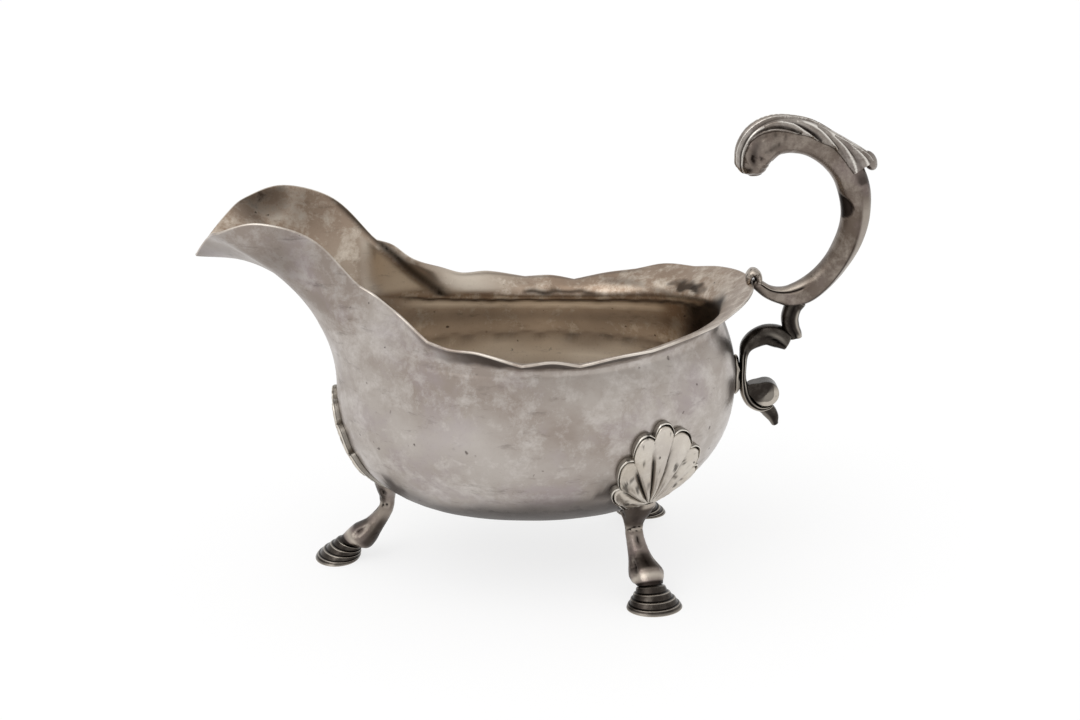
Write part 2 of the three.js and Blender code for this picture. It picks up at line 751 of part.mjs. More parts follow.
// A turned bead with round ends, its axis across the boat
function bead(radius, length, sides, rows) {
  const profile = [];
  for (let k = 0; k <= rows; k += 1) {
    const angle = mix(-90, 90, k / rows) * degree;
    const r = k === 0 || k === rows ? 0 : radius * Math.cos(angle);
    profile.push(new THREE.Vector2(r, length / 2 * Math.sin(angle)));
  }
  const geometry = new THREE.LatheGeometry(profile, sides);
  geometry.deleteAttribute('normal');
  geometry.deleteAttribute('uv');
  return mergeVertices(geometry, 1e-4);
}

// The leaf's tip is rolled up into a small knob behind the main scroll
const leafTipMiddle = new THREE.Vector3(rimRear.x + 29.0 * mainScale, 0, rimRear.z + 32.1 * mainScale);

function leafTip(grown = 0) {
  const geometry = bead(leafTipRadius + grown, leafTipLength + 2 * grown, 14, 10);
  return geometry.translate(leafTipMiddle.x, 0, leafTipMiddle.z);
}

function rimCurl() {
  const geometry = bead(rimCurlRadius, rimCurlWidth, 16, 10);
  const rimTop = wall * Math.sin(rearLean * degree);
  return geometry.translate(rimRear.x - 0.2, 0, rimRear.z + rimTop + seam + rimCurlRadius);
}

// Bridge between the two scrolls: it stands under the main scroll and bulges toward the bowl
// Its top follows the main scroll, and its foot the lower scroll's end
const bridgeOutline = [
  [0, 0, bridgeDepth + 0.2, bridgeWidth],
  [-0.8, -3.0, bridgeDepth - 0.2, bridgeWidth],
  [-1.3, -5.6, bridgeDepth - 0.1, bridgeWidth],
  [-0.8, -8.1, bridgeDepth, bridgeWidth],
  [0.2, -10.3, bridgeDepth - 1.2, bridgeWidth],
];
const bridgeTop = new THREE.Vector3(rimRear.x + 11.5 * mainScale, 0, rimRear.z - 3.6 * mainScale);
const bridgeStops = sized(bridgeTop, bridgeRise / drawnRise(bridgeOutline), bridgeOutline);

function bridge() {
  const whole = toSolid(bar(bridgeStops, 12, 12, 2.3));
  return whole.subtract(toSolid(bar(mainStops, mainSteps, mainSides, mainSquareness, seam)));
}

// Lower scroll, from its leaf-shaped end under the bridge, down the pad and round its volute
const padOuter = wallRear.clone().add(new THREE.Vector3(seam + padThick + seam, 0, 0));
const lowerOutline = [
  [11.7, 8.9, 3.4, lowerWidth + 1.0],
  [9.3, 10.9, 6.0, lowerWidth + 0.8],
  [6.3, 11.0, 5.0, lowerWidth],
  [3.4, 9.7, 4.2, lowerWidth],
  [1.5, 8.0, 3.0, lowerWidth],
  [0.85, 5.6, 1.7, lowerWidth],
  [0.65, 2.5, 1.3, lowerWidth],
  [0.65, -0.6, 1.3, lowerWidth],
  [1.05, -2.9, 1.9, lowerWidth],
  [1.5, -5.2, 2.2, lowerWidth],
  [3.0, -7.6, 2.2, lowerWidth],
  [5.4, -9.1, 1.5, lowerWidth],
  [7.9, -9.1, 1.1, lowerWidth],
  [9.9, -7.9, 0.9, lowerWidth - 0.8],
];
const lowerScale = lowerScrollRise / drawnRise(lowerOutline);
const lowerStops = sized(padOuter, lowerScale, lowerOutline);

const lowerVoluteMiddle = new THREE.Vector3(padOuter.x + 7.0 * lowerScale, 0, padOuter.z - 4.9 * lowerScale);

function lowerVolute(grown = 0) {
  const geometry = bead(lowerVoluteRadius + grown, (lowerWidth + 2 * grown) * 1.1, 18, 10);
  return geometry.translate(lowerVoluteMiddle.x, 0, lowerVoluteMiddle.z);
}

function lowerScroll() {
  return toSolid(bar(lowerStops, 48, 12, 2.3))
    .subtract(toSolid(bar(bridgeStops, 12, 12, 2.3, seam)))
    .subtract(toSolid(lowerVolute(seam)));
}

const tailStops = sized(padOuter, lowerScale, [
  [7.1, -9.4, 2.8, tailWidth],
  [8.5, -10.7, 2.6, tailWidth],
  [9.5, -12.5, 2.1, tailWidth * 0.8],
  [9.9, -13.7, 1.3, tailWidth * 0.5],
]);

function tail() {
  return toSolid(bar(tailStops, 12, 10, 2)).subtract(toSolid(bar(lowerStops, 48, 12, 2.3, seam)));
}

// Pad soldered to the bowl's rear wall
function wallPad() {
  const sides = 20;
  const ring = (lift, share) => {
    const points = [];
    for (let i = 0; i < sides; i += 1) {
      const angle = 360 * degree * i / sides;
      const start = new THREE.Vector3(
        bowlMiddleX,
        Math.sin(angle) * share * padWidth / 2,
        wallRear.z + Math.cos(angle) * share * padHeight / 2,
      );
      const point = leaveBowl(start, new THREE.Vector3(1, 0, 0));
      points.push(point.addScaledVector(bowlFacing(point), lift));
    }
    return points;
  };
  return loft([ring(seam, 0.4), ring(seam, 1), ring(seam + padThick, 0.92), ring(seam + padThick, 0.4)]);
}

addNode('body_shell', bodyShell(), 'outside');
for (const foot of feet) {
  addNode(`${foot.name}_shell_plate`, shellPlate(foot), 'bright');
  addNode(`${foot.name}_leg`, leg(foot), 'cast');
  addNode(`${foot.name}_hoof`, hoof(foot), 'dark');
}
addNode('handle_main_scroll', bar(mainStops, mainSteps, mainSides, mainSquareness), 'cast');
addNode('handle_leaf_cap', toGeometry(toSolid(leafCap()).subtract(toSolid(leafTip(seam)))), 'bright');
addNode('handle_leaf_tip', leafTip(), 'cast');
addNode('handle_rim_curl', rimCurl(), 'bright');
addNode('handle_bridge_scroll', toGeometry(bridge()), 'dark');
addNode('handle_lower_scroll', toGeometry(lowerScroll()), 'dark');
addNode('handle_lower_volute', lowerVolute(), 'dark');
addNode('handle_tail', toGeometry(tail()), 'cast');
addNode('handle_wall_pad', wallPad(), 'bright');

// The part's origin is under the middle of its box, on the floor
const box = new THREE.Box3().setFromObject(model, true);
model.position.x = -(box.min.x + box.max.x) / 2;

export default model;
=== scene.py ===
import math

import bpy
import numpy as np
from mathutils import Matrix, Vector, noise


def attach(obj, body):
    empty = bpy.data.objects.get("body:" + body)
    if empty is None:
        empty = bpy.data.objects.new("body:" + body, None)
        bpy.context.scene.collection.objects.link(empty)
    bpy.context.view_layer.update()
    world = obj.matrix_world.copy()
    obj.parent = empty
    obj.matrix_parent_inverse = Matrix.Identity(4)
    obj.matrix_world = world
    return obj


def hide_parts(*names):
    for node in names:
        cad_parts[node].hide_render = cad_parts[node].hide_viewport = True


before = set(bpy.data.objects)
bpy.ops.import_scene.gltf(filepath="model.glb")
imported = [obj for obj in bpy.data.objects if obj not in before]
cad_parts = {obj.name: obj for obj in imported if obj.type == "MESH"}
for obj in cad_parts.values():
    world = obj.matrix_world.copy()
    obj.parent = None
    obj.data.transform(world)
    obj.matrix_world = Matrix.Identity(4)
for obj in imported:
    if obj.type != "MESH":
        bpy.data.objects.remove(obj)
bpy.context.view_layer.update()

mm = 0.001


def mix(a, b, share):
    return a + (b - a) * share


def ease(share):
    share = min(1, max(0, share))
    return share * share * (3 - 2 * share)


def bump(value, middle, width):
    return math.exp(-((value - middle) / width) ** 2)


def between(value, start, rise, end, fall):
    # eases in from the start and out past the end
    return ease((value - start) / rise) * (1 - ease((value - end) / fall))


def signedPower(value, power):
    return math.copysign(abs(value) ** power, value)


def smoothRun(stops, key, place, placeKey="place"):
    # a smooth run through values at given places, with a corner at each stop that is marked
    last = len(stops) - 2
    i = 0
    while i < last and place > stops[i + 1][placeKey]:
        i += 1

    def slopeBetween(a, b):
        return (stops[b][key] - stops[a][key]) / (stops[b][placeKey] - stops[a][placeKey])

    def slopeAt(k, inner):
        if k == 0 or k == len(stops) - 1 or stops[k].get("corner"):
            return slopeBetween(i, i + 1) * inner
        return slopeBetween(k - 1, k + 1)

    length = stops[i + 1][placeKey] - stops[i][placeKey]
    t = (place - stops[i][placeKey]) / length
    flatEnd = 0 if stops[i + 1].get("flat") and key != "out" else 1
    m0, m1 = slopeAt(i, 1) * length, slopeAt(i + 1, flatEnd) * length
    return (
        (2 * t**3 - 3 * t**2 + 1) * stops[i][key]
        + (t**3 - 2 * t**2 + t) * m0
        + (3 * t**2 - 2 * t**3) * stops[i + 1][key]
        + (t**3 - t**2) * m1
    )


# Making pieces


def chooseOnly(piece):
    # an operator acts on all that is selected
    bpy.ops.object.select_all(action="DESELECT")
    piece.select_set(True)
    bpy.context.view_layer.objects.active = piece


def ringPiece(name, rings, first, last, marks=()):
    # a ball whose rings are laid out one by one, closed at its two poles; where marks are named, a
    # ring holds each point with their values
    around, along = len(rings[0]), len(rings) + 1
    bpy.ops.object.select_all(action="DESELECT")
    bpy.ops.mesh.primitive_uv_sphere_add(segments=around, ring_count=along, radius=1)
    piece = bpy.context.object
    piece.name = piece.data.name = name
    for mark in marks:
        piece.data.attributes.new(mark, "FLOAT", "POINT")
    layers = [piece.data.attributes[mark].data for mark in marks]
    for vertex in piece.data.vertices:
        x, y, z = vertex.co
        ring = round(math.acos(max(-1, min(1, z))) / math.pi * along)
        column = round(math.atan2(y, x) / math.tau * around) % around
        if ring == 0:
            place = first
        elif ring == along:
            place = last
        else:
            place = rings[ring - 1][column]
            if marks:
                place, *values = place
                for layer, value in zip(layers, values):
                    layer[vertex.index].value = min(1, max(0, value))
        vertex.co = place * mm
    faceOutward(piece)
    return piece


def middleOf(ring):
    return sum((point for point, *values in ring), Vector()) / len(ring)


def faceOutward(piece):
    chooseOnly(piece)
    bpy.ops.object.mode_set(mode="EDIT")
    bpy.ops.mesh.select_all(action="SELECT")
    bpy.ops.mesh.normals_make_consistent(inside=False)
    bpy.ops.object.mode_set(mode="OBJECT")


def subdivided(piece):
    chooseOnly(piece)
    modifier = piece.modifiers.new("Subsurf", "SUBSURF")
    modifier.levels = modifier.render_levels = 1
    bpy.ops.object.modifier_apply(modifier=modifier.name)


def feelShape(piece, blurs, hollowAt, edgeAt):
    # masks of the hollows and of the sharp edges, from how each point stands to its neighbours
    mesh = piece.data
    count = len(mesh.vertices)
    places, facing = np.empty(count * 3), np.empty(count * 3)
    mesh.vertices.foreach_get("co", places)
    mesh.vertices.foreach_get("normal", facing)
    places, facing = places.reshape(-1, 3) / mm, facing.reshape(-1, 3)
    ends = np.empty(len(mesh.edges) * 2, int)
    mesh.edges.foreach_get("vertices", ends)
    a, b = ends[0::2], ends[1::2]
    step = places[b] - places[a]
    square = np.maximum((step**2).sum(1), 1e-6)
    bend, shared = np.zeros(count), np.zeros(count)
    np.add.at(bend, a, 2 * (step * facing[a]).sum(1) / square)
    np.add.at(bend, b, -2 * (step * facing[b]).sum(1) / square)
    np.add.at(shared, a, 1)
    np.add.at(shared, b, 1)
    shared = np.maximum(shared, 1)
    bend /= shared
    for _ in range(blurs):
        around = np.zeros(count)
        np.add.at(around, a, bend[b])
        np.add.at(around, b, bend[a])
        bend = (bend + around / shared) / 2
    hollow_and_shade = np.clip((bend - hollowAt) / 0.35, 0, 1)
    edge = np.clip((-bend - edgeAt) / 0.8, 0, 1)
    for name, values in (("hollow_and_shade", hollow_and_shade), ("edge", edge)):
        attribute = mesh.attributes.get(name) or mesh.attributes.new(name, "FLOAT", "POINT")
        old = np.zeros(count)
        attribute.data.foreach_get("value", old)
        attribute.data.foreach_set("value", np.maximum(old, values))


def dressed(piece, cadNode, slot, material, angle, *feel):
    # angle is where smooth shading stops; feel holds what feelShape asks for, where it is wanted
    chooseOnly(piece)
    bpy.ops.object.shade_smooth_by_angle(angle=math.radians(angle))
    if feel:
        feelShape(piece, *feel)
    piece.data.materials.clear()
    piece.data.materials.append(material)
    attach(piece, "root")
    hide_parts(cadNode)


# Materials of silver, from bright where rubbed and where a highlight is painted, to dark in the hollows and
# where shade is painted


def tone(red, green, blue):
    def plain(value):
        value /= 255
        return value / 12.92 if value <= 0.04045 else ((value + 0.055) / 1.055) ** 2.4

    return (plain(red), plain(green), plain(blue), 1)


def node(tree, kind, x, y, **settings):
    made = tree.nodes.new("ShaderNode" + kind)
    made.location = (x, y)
    for key, value in settings.items():
        setattr(made, key, value)
    return made


def fed(tree, made, values):
    # each input takes a plain value or what another node gives
    for socket, value in values.items():
        if isinstance(value, bpy.types.NodeSocket):
            tree.links.new(value, made.inputs[socket])
        else:
            made.inputs[socket].default_value = value
    return made


def emptyTree(owner):
    owner.use_nodes = True
    owner.node_tree.nodes.clear()
    return owner.node_tree


def textureNode(tree, x, y, vector, scale, detail=4, roughness=0.55, distortion=0):
    values = dict(Vector=vector, Scale=scale, Detail=detail, Roughness=roughness, Distortion=distortion)
    return fed(tree, node(tree, "TexNoise", x, y), values).outputs


def ranged(tree, x, y, value, fromLow, fromHigh, toLow=0, toHigh=1):
    sockets = ("Value", "From Min", "From Max", "To Min", "To Max")
    values = dict(zip(sockets, (value, fromLow, fromHigh, toLow, toHigh)))
    return fed(tree, node(tree, "MapRange", x, y), values).outputs["Result"]


def combined(tree, x, y, kind, a, b):
    made = node(tree, "Math", x, y, operation=kind, use_clamp=kind == "MULTIPLY")
    return fed(tree, made, {0: a, 1: b}).outputs[0]


def mixed(tree, x, y, share, a, b):
    return fed(tree, node(tree, "Mix", x, y, data_type="RGBA"), {0: share, 6: a, 7: b}).outputs[2]


tones = ("Rubbed_and_sheen", "Body", "Bloom", "Warm", "Deep")
masks = ("Hollow_and_shade", "Edge", "Rub_and_sheen")
amounts = ("Warmth", "Mottle", "Streaks", "Pits")


def makeTarnishAndPaintedLightGroup():
    group = bpy.data.node_groups.new("tarnish_and_painted_light", "ShaderNodeTree")
    for names, way, kind in (
        (tones, "INPUT", "Color"), (masks + amounts, "INPUT", "Float"),
        (("Colour",), "OUTPUT", "Color"), (("Tarnish", "Height"), "OUTPUT", "Float"),
    ):
        for name in names:
            group.interface.new_socket(name=name, in_out=way, socket_type="NodeSocket" + kind)
    given = group.nodes.new("NodeGroupInput").outputs
    place = node(group, "TexCoord", -1600, 400).outputs["Object"]

    # blotches of some 20 mm, mottles of some 5 mm, a fine grain, and streaks that lie level
    clouds = textureNode(group, -1100, 800, place, 30, 6, 0.62, 0.3)["Fac"]
    blooms = textureNode(group, -1100, 600, place, 52, 6, 0.66, 0.3)["Fac"]
    mottles = textureNode(group, -1100, 350, place, 170, 8, 0.74, 0.2)["Fac"]
    grain = textureNode(group, -1100, 100, place, 1500, 4, 0.65)["Fac"]
    level = node(group, "Mapping", -1300, -150)
    fed(group, level, dict(Vector=place, Scale=(110, 110, 420), Rotation=(0, 0.12, 0)))
    streaks = textureNode(group, -1100, -150, level.outputs["Vector"], 1, 7, 0.72, 0.25)["Fac"]

    # sparse pits with ragged edges
    drift = textureNode(group, -1500, -400, place, 900, 3)["Color"]
    ragged = node(group, "VectorMath", -1300, -400, operation="MULTIPLY_ADD")
    fed(group, ragged, {0: drift, 1: (0.0016, 0.0016, 0.0016), 2: place})
    spots = node(group, "TexVoronoi", -1100, -400)
    fed(group, spots, dict(Vector=ragged.outputs[0], Scale=260))
    spotMask = ranged(group, -850, -400, spots.outputs["Distance"], 0.13, 0.04)
    fewSpots = ranged(group, -850, -600, spots.outputs["Color"], 0.62, 0.68)
    pitMask = combined(group, -600, -400, "MULTIPLY", spotMask, fewSpots)
    pitMask = combined(group, -400, -400, "MULTIPLY", pitMask, given["Pits"])

    def shareOf(y, pattern, low, high, amount):
        share = ranged(group, -850, y, pattern, low, high)
        return combined(group, -600, y, "MULTIPLY", share, given[amount])

    warmShare = shareOf(800, clouds, 0.4, 0.62, "Warmth")
    streakShare = shareOf(-150, streaks, 0.57, 0.72, "Streaks")
    # wear and painted highlights both go to the rubbed tone
    rubAndSheenShare = shareOf(350, mottles, 0.46, 0.66, "Mottle")
    rubAndSheenShare = combined(group, -400, 350, "MAXIMUM", rubAndSheenShare, given["Rub_and_sheen"])
    # the dark edge of a hollow or of painted shade is broken up by the mottles
    broken = ranged(group, 0, 100, mottles, 0.3, 0.7, -0.22, 0.22)
    within = combined(group, 100, 200, "MULTIPLY", given["Hollow_and_shade"], 4)
    broken = combined(group, 200, 100, "MULTIPLY", broken, within)
    hollowAndShadeShare = combined(group, 300, 0, "ADD", given["Hollow_and_shade"], broken)

    # the rubbed tone also stands for painted highlights, and the deep tone for painted shade, where the
    # masks carry them
    base = given["Body"]
    for column, (share, name) in enumerate((
        (warmShare, "Warm"), (shareOf(600, blooms, 0.5, 0.64, "Mottle"), "Bloom"), (rubAndSheenShare, "Rubbed_and_sheen"),
        (streakShare, "Deep"), (ranged(group, -600, 100, grain, 0.58, 0.8, 0, 0.35), "Warm"),
        (given["Edge"], "Rubbed_and_sheen"), (hollowAndShadeShare, "Deep"), (pitMask, "Deep"),
    )):
        base = mixed(group, 180 * column - 400, 700 - 80 * column, share, base, given[name])

    rough = combined(group, 400, -100, "ADD", warmShare, streakShare)
    rough = combined(group, 600, -100, "ADD", rough, hollowAndShadeShare)
    height = combined(group, 200, -300, "MULTIPLY", grain, 0.3)
    low = combined(group, 200, -500, "MULTIPLY", mottles, 0.5)
    height = combined(group, 400, -300, "ADD", height, low)
    height = combined(group, 600, -300, "SUBTRACT", height, pitMask)
    out = group.nodes.new("NodeGroupOutput")
    out.location = (1100, 0)
    fed(group, out, dict(Colour=base, Tarnish=rough, Height=height))
    return group


tarnishAndPaintedLightGroup = makeTarnishAndPaintedLightGroup()

silvers = dict(
    outer=dict(
        rubbed_and_sheen=(205, 199, 194), body=(174, 166, 159), bloom=(160, 149, 150), warm=(138, 124, 114),
        deep=(70, 62, 57), warmth=0.65, mottle=0.6, streaks=0.4, pits=0.8, rough=(0.28, 0.46), bump=0.24,
    ),
    cast=dict(
        rubbed_and_sheen=(186, 176, 164), body=(122, 111, 103), bloom=(128, 114, 117), warm=(86, 74, 64),
        deep=(34, 28, 25), warmth=0.75, mottle=0.4, streaks=0.12, pits=0.5, rough=(0.28, 0.44), bump=0.4,
    ),
    leaf=dict(
        rubbed_and_sheen=(232, 227, 219), body=(134, 126, 119), bloom=(126, 117, 118), warm=(98, 86, 75),
        deep=(38, 32, 29), warmth=0.6, mottle=0.3, streaks=0, pits=0.2, rough=(0.24, 0.42), bump=0.25,
    ),
    worn=dict(
        rubbed_and_sheen=(226, 220, 210), body=(203, 195, 184), bloom=(186, 178, 172), warm=(170, 158, 142),
        deep=(46, 40, 34), warmth=0.6, mottle=0.5, streaks=0, pits=0.9, rough=(0.28, 0.46), bump=0.4,
    ),
    dark=dict(
        rubbed_and_sheen=(184, 176, 165), body=(53, 48, 44), bloom=(50, 46, 45), warm=(40, 34, 30),
        deep=(20, 17, 16), warmth=0.6, mottle=0.14, streaks=0, pits=0.3, rough=(0.24, 0.4), bump=0.24,
    ),
)
# the bowl's inside is browner than its outside
insideTones = dict(
    rubbed_and_sheen=(232, 222, 207), body=(156, 137, 120), bloom=(142, 123, 106), warm=(120, 100, 82),
    deep=(42, 33, 26),
)


def makeSilver(name, look, inner=None):
    material = bpy.data.materials.new(name)
    tree = emptyTree(material)
    values = {socket: tone(*look[socket.lower()]) for socket in tones}
    values.update({socket: look[socket.lower()] for socket in amounts})
    for row, socket in enumerate(masks):
        mask = node(tree, "Attribute", -600, -200 * row, attribute_name=socket.lower())
        values[socket] = mask.outputs["Fac"]
    if inner:
        side = node(tree, "Attribute", -900, 300, attribute_name="inside").outputs["Fac"]
        for row, socket in enumerate(tones):
            within = tone(*inner[socket.lower()])
            values[socket] = mixed(tree, -600, 300 + 200 * row, side, values[socket], within)
    tarnish_and_painted_light = fed(tree, node(tree, "Group", -300, 0, node_tree=tarnishAndPaintedLightGroup), values).outputs
    rough = ranged(tree, 0, -200, tarnish_and_painted_light["Tarnish"], 0, 1, *look["rough"])
    relief = node(tree, "Bump", 0, -400)
    fed(tree, relief, dict(Strength=look["bump"], Distance=0.0004, Height=tarnish_and_painted_light["Height"]))
    shader = fed(tree, node(tree, "BsdfPrincipled", 300, 0), {
        "Metallic": 1, "Base Color": tarnish_and_painted_light["Colour"], "Roughness": rough,
        "Normal": relief.outputs["Normal"],
    })
    fed(tree, node(tree, "OutputMaterial", 600, 0), dict(Surface=shader.outputs[0]))
    return material


outerSilver, castSilver, leafSilver, wornSilver, darkSilver = (
    makeSilver(name + "Silver", look, insideTones if name == "outer" else None)
    for name, look in silvers.items()
)
print("materials made")

# Bowl: half ellipses in plan and profile up to the neck, then a flare that ends in the waved rim

bowl = dict(
    middleX=-0.725, wall=1.0, rimWall=0.8,
    bottom=13.9, depth=38.3, bellyFront=51.5, bellyRear=53.6, bellySide=38.8,
    neckFront=55.9, neckRear=50.2, neckSide=36.8,
    neckRise=10.7, neckRiseFront=5.8, neckRiseRear=4.8,
    frontFullness=2.6, rearFullness=2.3, sideFullness=2.05, planFullness=2.1,
    leaveNeck=0.42, arriveRim=0.3,
    columns=360, bowlRows=20, neckRows=15, flareRows=30,
    dents=0.1, softTurns=9, softEnd=0.45,
)
bellyHeight = bowl["bottom"] + bowl["depth"]
flareStart = bowl["bowlRows"] + bowl["neckRows"]

# turn from the spout, then how far the rim stands to the rear, outward and up from the neck, and
# how far the wall leans there
rimCorners = (0, 46, 64, 88, 104, 123, 142)
rimStops = [
    dict(turn=turn, back=back, out=out, up=up, lean=lean, corner=turn in rimCorners, flat=turn == 180)
    for turn, back, out, up, lean in (
        (0, -30.9, 0, 15.7, 84), (10, -25.7, 5.6, 23.7, 62),
        (18, -23.7, 8.6, 26.8, 46), (27, -16.9, 5.9, 30.4, 28),
        (36, -8.2, 1.8, 27.5, 16), (46, -3.0, -2.5, 16.9, 10),
        (50, -1.5, -1.9, 15.2, 12), (55, 0, -2.7, 11.5, 12), (64, 0, 2.3, 7.6, 45),
        (70, 0.1, 2.0, 6.3, 45), (78, -0.3, 3.2, 6.5, 55), (88, 0, 5.2, 4.4, 68),
        (96, -0.8, 4.4, 5.0, 62), (104, -1.2, 4.7, 3.7, 68), (114, -0.3, 6.2, 5.3, 62),
        (123, 1.2, 7.8, 6.0, 60), (131, 3.4, 8.4, 7.5, 56), (142, 5.1, 5.9, 7.7, 54),
        (152, 6.6, 3.4, 8.9, 50), (180, 7.1, 0, 9.5, 48),
    )
]


def neckHeightAt(turn):
    c = math.cos(math.radians(turn))
    ends = bowl["neckRiseFront"] if c > 0 else bowl["neckRiseRear"]
    return bellyHeight + bowl["neckRise"] + ends * c * c


def planAt(height, neckZ):
    below = min(1, max(0, (bellyHeight - height) / bowl["depth"]))
    above = max(0, (height - bellyHeight) / (neckZ - bellyHeight)) ** 2

    def filled(fullness):
        return (1 - below**fullness) ** (1 / fullness)

    return (
        filled(bowl["frontFullness"]) * mix(bowl["bellyFront"], bowl["neckFront"], above),
        filled(bowl["rearFullness"]) * mix(bowl["bellyRear"], bowl["neckRear"], above),
        filled(bowl["sideFullness"]) * mix(bowl["bellySide"], bowl["neckSide"], above),
    )


def bowlPoint(turn, height):
    c = signedPower(math.cos(math.radians(turn)), 2 / bowl["planFullness"])
    s = signedPower(math.sin(math.radians(turn)), 2 / bowl["planFullness"])
    front, rear, side = planAt(height, neckHeightAt(turn))
    return Vector((bowl["middleX"] - c * (front if c > 0 else rear), -s * side, height))


def flareCurve(turn):
    neckZ = neckHeightAt(turn)
    start = bowlPoint(turn, neckZ)
    leave = (start - bowlPoint(turn, neckZ - 1)).normalized()
    back, out, up, lean = (smoothRun(rimStops, key, turn, "turn") for key in ("back", "out", "up", "lean"))
    end = Vector((start.x + back, start.y - out, start.z + up))
    reach = bowl["neckFront"] if turn < 90 else bowl["neckRear"]
    around = math.radians(turn)
    outward = Vector((-math.cos(around) / reach, -math.sin(around) / bowl["neckSide"], 0)).normalized()
    lean = math.radians(lean)
    arrive = outward * math.sin(lean) + Vector((0, 0, math.cos(lean)))
    across = (end - start).length
    return start, start + leave * bowl["leaveNeck"] * across, end - arrive * bowl["arriveRim"] * across, end


def onCurve(curve, t):
    a, b, c, d = curve
    return a * (1 - t) ** 3 + b * 3 * t * (1 - t) ** 2 + c * 3 * t * t * (1 - t) + d * t**3


def uprightRow(turn):
    row = []
    for k in range(1, bowl["bowlRows"] + 1):
        share = (1 - math.cos(math.pi / 2 * k / bowl["bowlRows"])) ** (2 / bowl["sideFullness"])
        row.append(bowlPoint(turn, mix(bowl["bottom"], bellyHeight, share)))
    neckZ = neckHeightAt(turn)
    for k in range(1, bowl["neckRows"] + 1):
        row.append(bowlPoint(turn, mix(bellyHeight, neckZ, k / bowl["neckRows"])))
    curve = flareCurve(turn)
    for k in range(1, bowl["flareRows"] + 1):
        row.append(onCurve(curve, k / bowl["flareRows"]))
    return row


def bowlShare(p):
    if p.z <= bowl["bottom"]:
        return 2
    turn = math.degrees(math.atan2(abs(p.y), bowl["middleX"] - p.x))
    front, rear, side = planAt(p.z, neckHeightAt(turn))
    reach = front if p.x < bowl["middleX"] else rear
    full = bowl["planFullness"]
    return (abs(p.x - bowl["middleX"]) / reach) ** full + (abs(p.y) / side) ** full


def leaveBowl(start, direction):
    near, far = 0, 2 * bowl["neckFront"]
    for _ in range(26):
        middle = (near + far) / 2
        if bowlShare(start + direction * middle) < 1:
            near = middle
        else:
            far = middle
    return start + direction * near


def bowlFacing(p):
    slope = []
    for axis in range(3):
        step = Vector((0, 0, 0))
        step[axis] = 0.05
        slope.append(bowlShare(p + step) - bowlShare(p - step))
    return Vector(slope).normalized()


def softened(rows):
    # corners of the rim fade out down the wall, as in hammered silver
    count, levels = len(rows), len(rows[0])
    soft = []
    for i in range(count):
        row = []
        for level in range(levels):
            if level < flareStart:
                row.append(rows[i][level])
                continue
            total, weights = Vector(), 0
            for k in range(-bowl["softTurns"], bowl["softTurns"] + 1):
                j = abs(i + k)
                j = 2 * (count - 1) - j if j > count - 1 else j
                weight = math.exp(-(k / bowl["softTurns"] * 2) ** 2)
                p = rows[j][level]
                side = -1 if i + k < 0 or i + k > count - 1 else 1
                total += Vector((p.x, p.y * side, p.z)) * weight
                weights += weight
            t = (level - flareStart + 1) / bowl["flareRows"]
            sharp = ease((t - bowl["softEnd"]) / (1 - bowl["softEnd"]))
            row.append((total / weights).lerp(rows[i][level], sharp))
        soft.append(row)
    return soft


# how dark each stain, painted shade and painted reflection on the bowl is, and how bright each painted
# highlight
stainsAndPaintedShade = dict(
    # painted shade: under, lip, spout, crease, shade, fold and step; painted reflections: pad, frontFoot
    # and rearFoot
    under=0.96, lip=0.8, spout=0.3, pad=0.6, frontFoot=0.85, rearFoot=0.8,
    crease=0.9, shade=0.35, rear=0.95, streak=0.85, band=0.4, blot=0.85, crest=0.92, crestFade=0.42,
    fold=0.85, outer=0.4, step=0.5,
)
paintedLights = dict(
    # all of these are painted highlights and painted light
    front=0.4, side=0.3, floorBand=1, floor=0.6, wall=0.22, shoulder=0.8, flank=0.2, flare=0.6,
    foldSide=0.78,
)


def strongest(amounts, **shares):
    return max(amounts[name] * share for name, share in shares.items())


def outerPaintedHighlight(p):
    # painted highlights on the front and on the side of the outer wall
    front = paintedLights["front"] * bump(p.x, -20, 15) * bump(p.z, 46, 7)
    return front + paintedLights["side"] * bump(p.x, 8, 14) * bump(p.z, 38, 4)


def outerPaintedShadeAndLight(p, turn, level, toRim, wave, fine):
    # painted shade on the underside, under the rim's lip and on the spout, and painted reflections of the
    # handle round its pad and of the legs by the feet
    x, y, z = p.x, abs(p.y), p.z
    frontFoot = ease((x + 39.2) / 0.8) * ease((-31.6 - x) / 2) * (y > 10)
    frontFoot *= ease((32.2 - 0.7 * (x + 38.6) - z) / 1.2)
    rearFoot = ease(x - 14.6) * ease(23 - x) * ease((z - 29.6 + 0.5 * (x - 14.6)) / 0.6)
    rearFoot *= ease((30 + 0.8 * (x - 14.6) - z) / 0.6)
    # all of these are painted shade and painted reflections
    dark = strongest(
        stainsAndPaintedShade,
        under=1 - ease((z - 21.3 + 3 * wave - 1.8 * ease((x + 25) / 30)) / 8),
        lip=(1 - ease((toRim - 0.46 + 0.14 * fine) / 0.22)) * ease((turn - 62) / 16),
        spout=ease((52 - turn) / 25) * ease((level - flareStart) / 10) * (0.7 + wave),
        pad=(1 - ease((math.hypot(y, (z - 60) / 1.5) - 6.5 + 3 * fine) / 4)) * (x > 0),
        frontFoot=frontFoot,
        rearFoot=rearFoot,
    )
    return dark, outerPaintedHighlight(p)


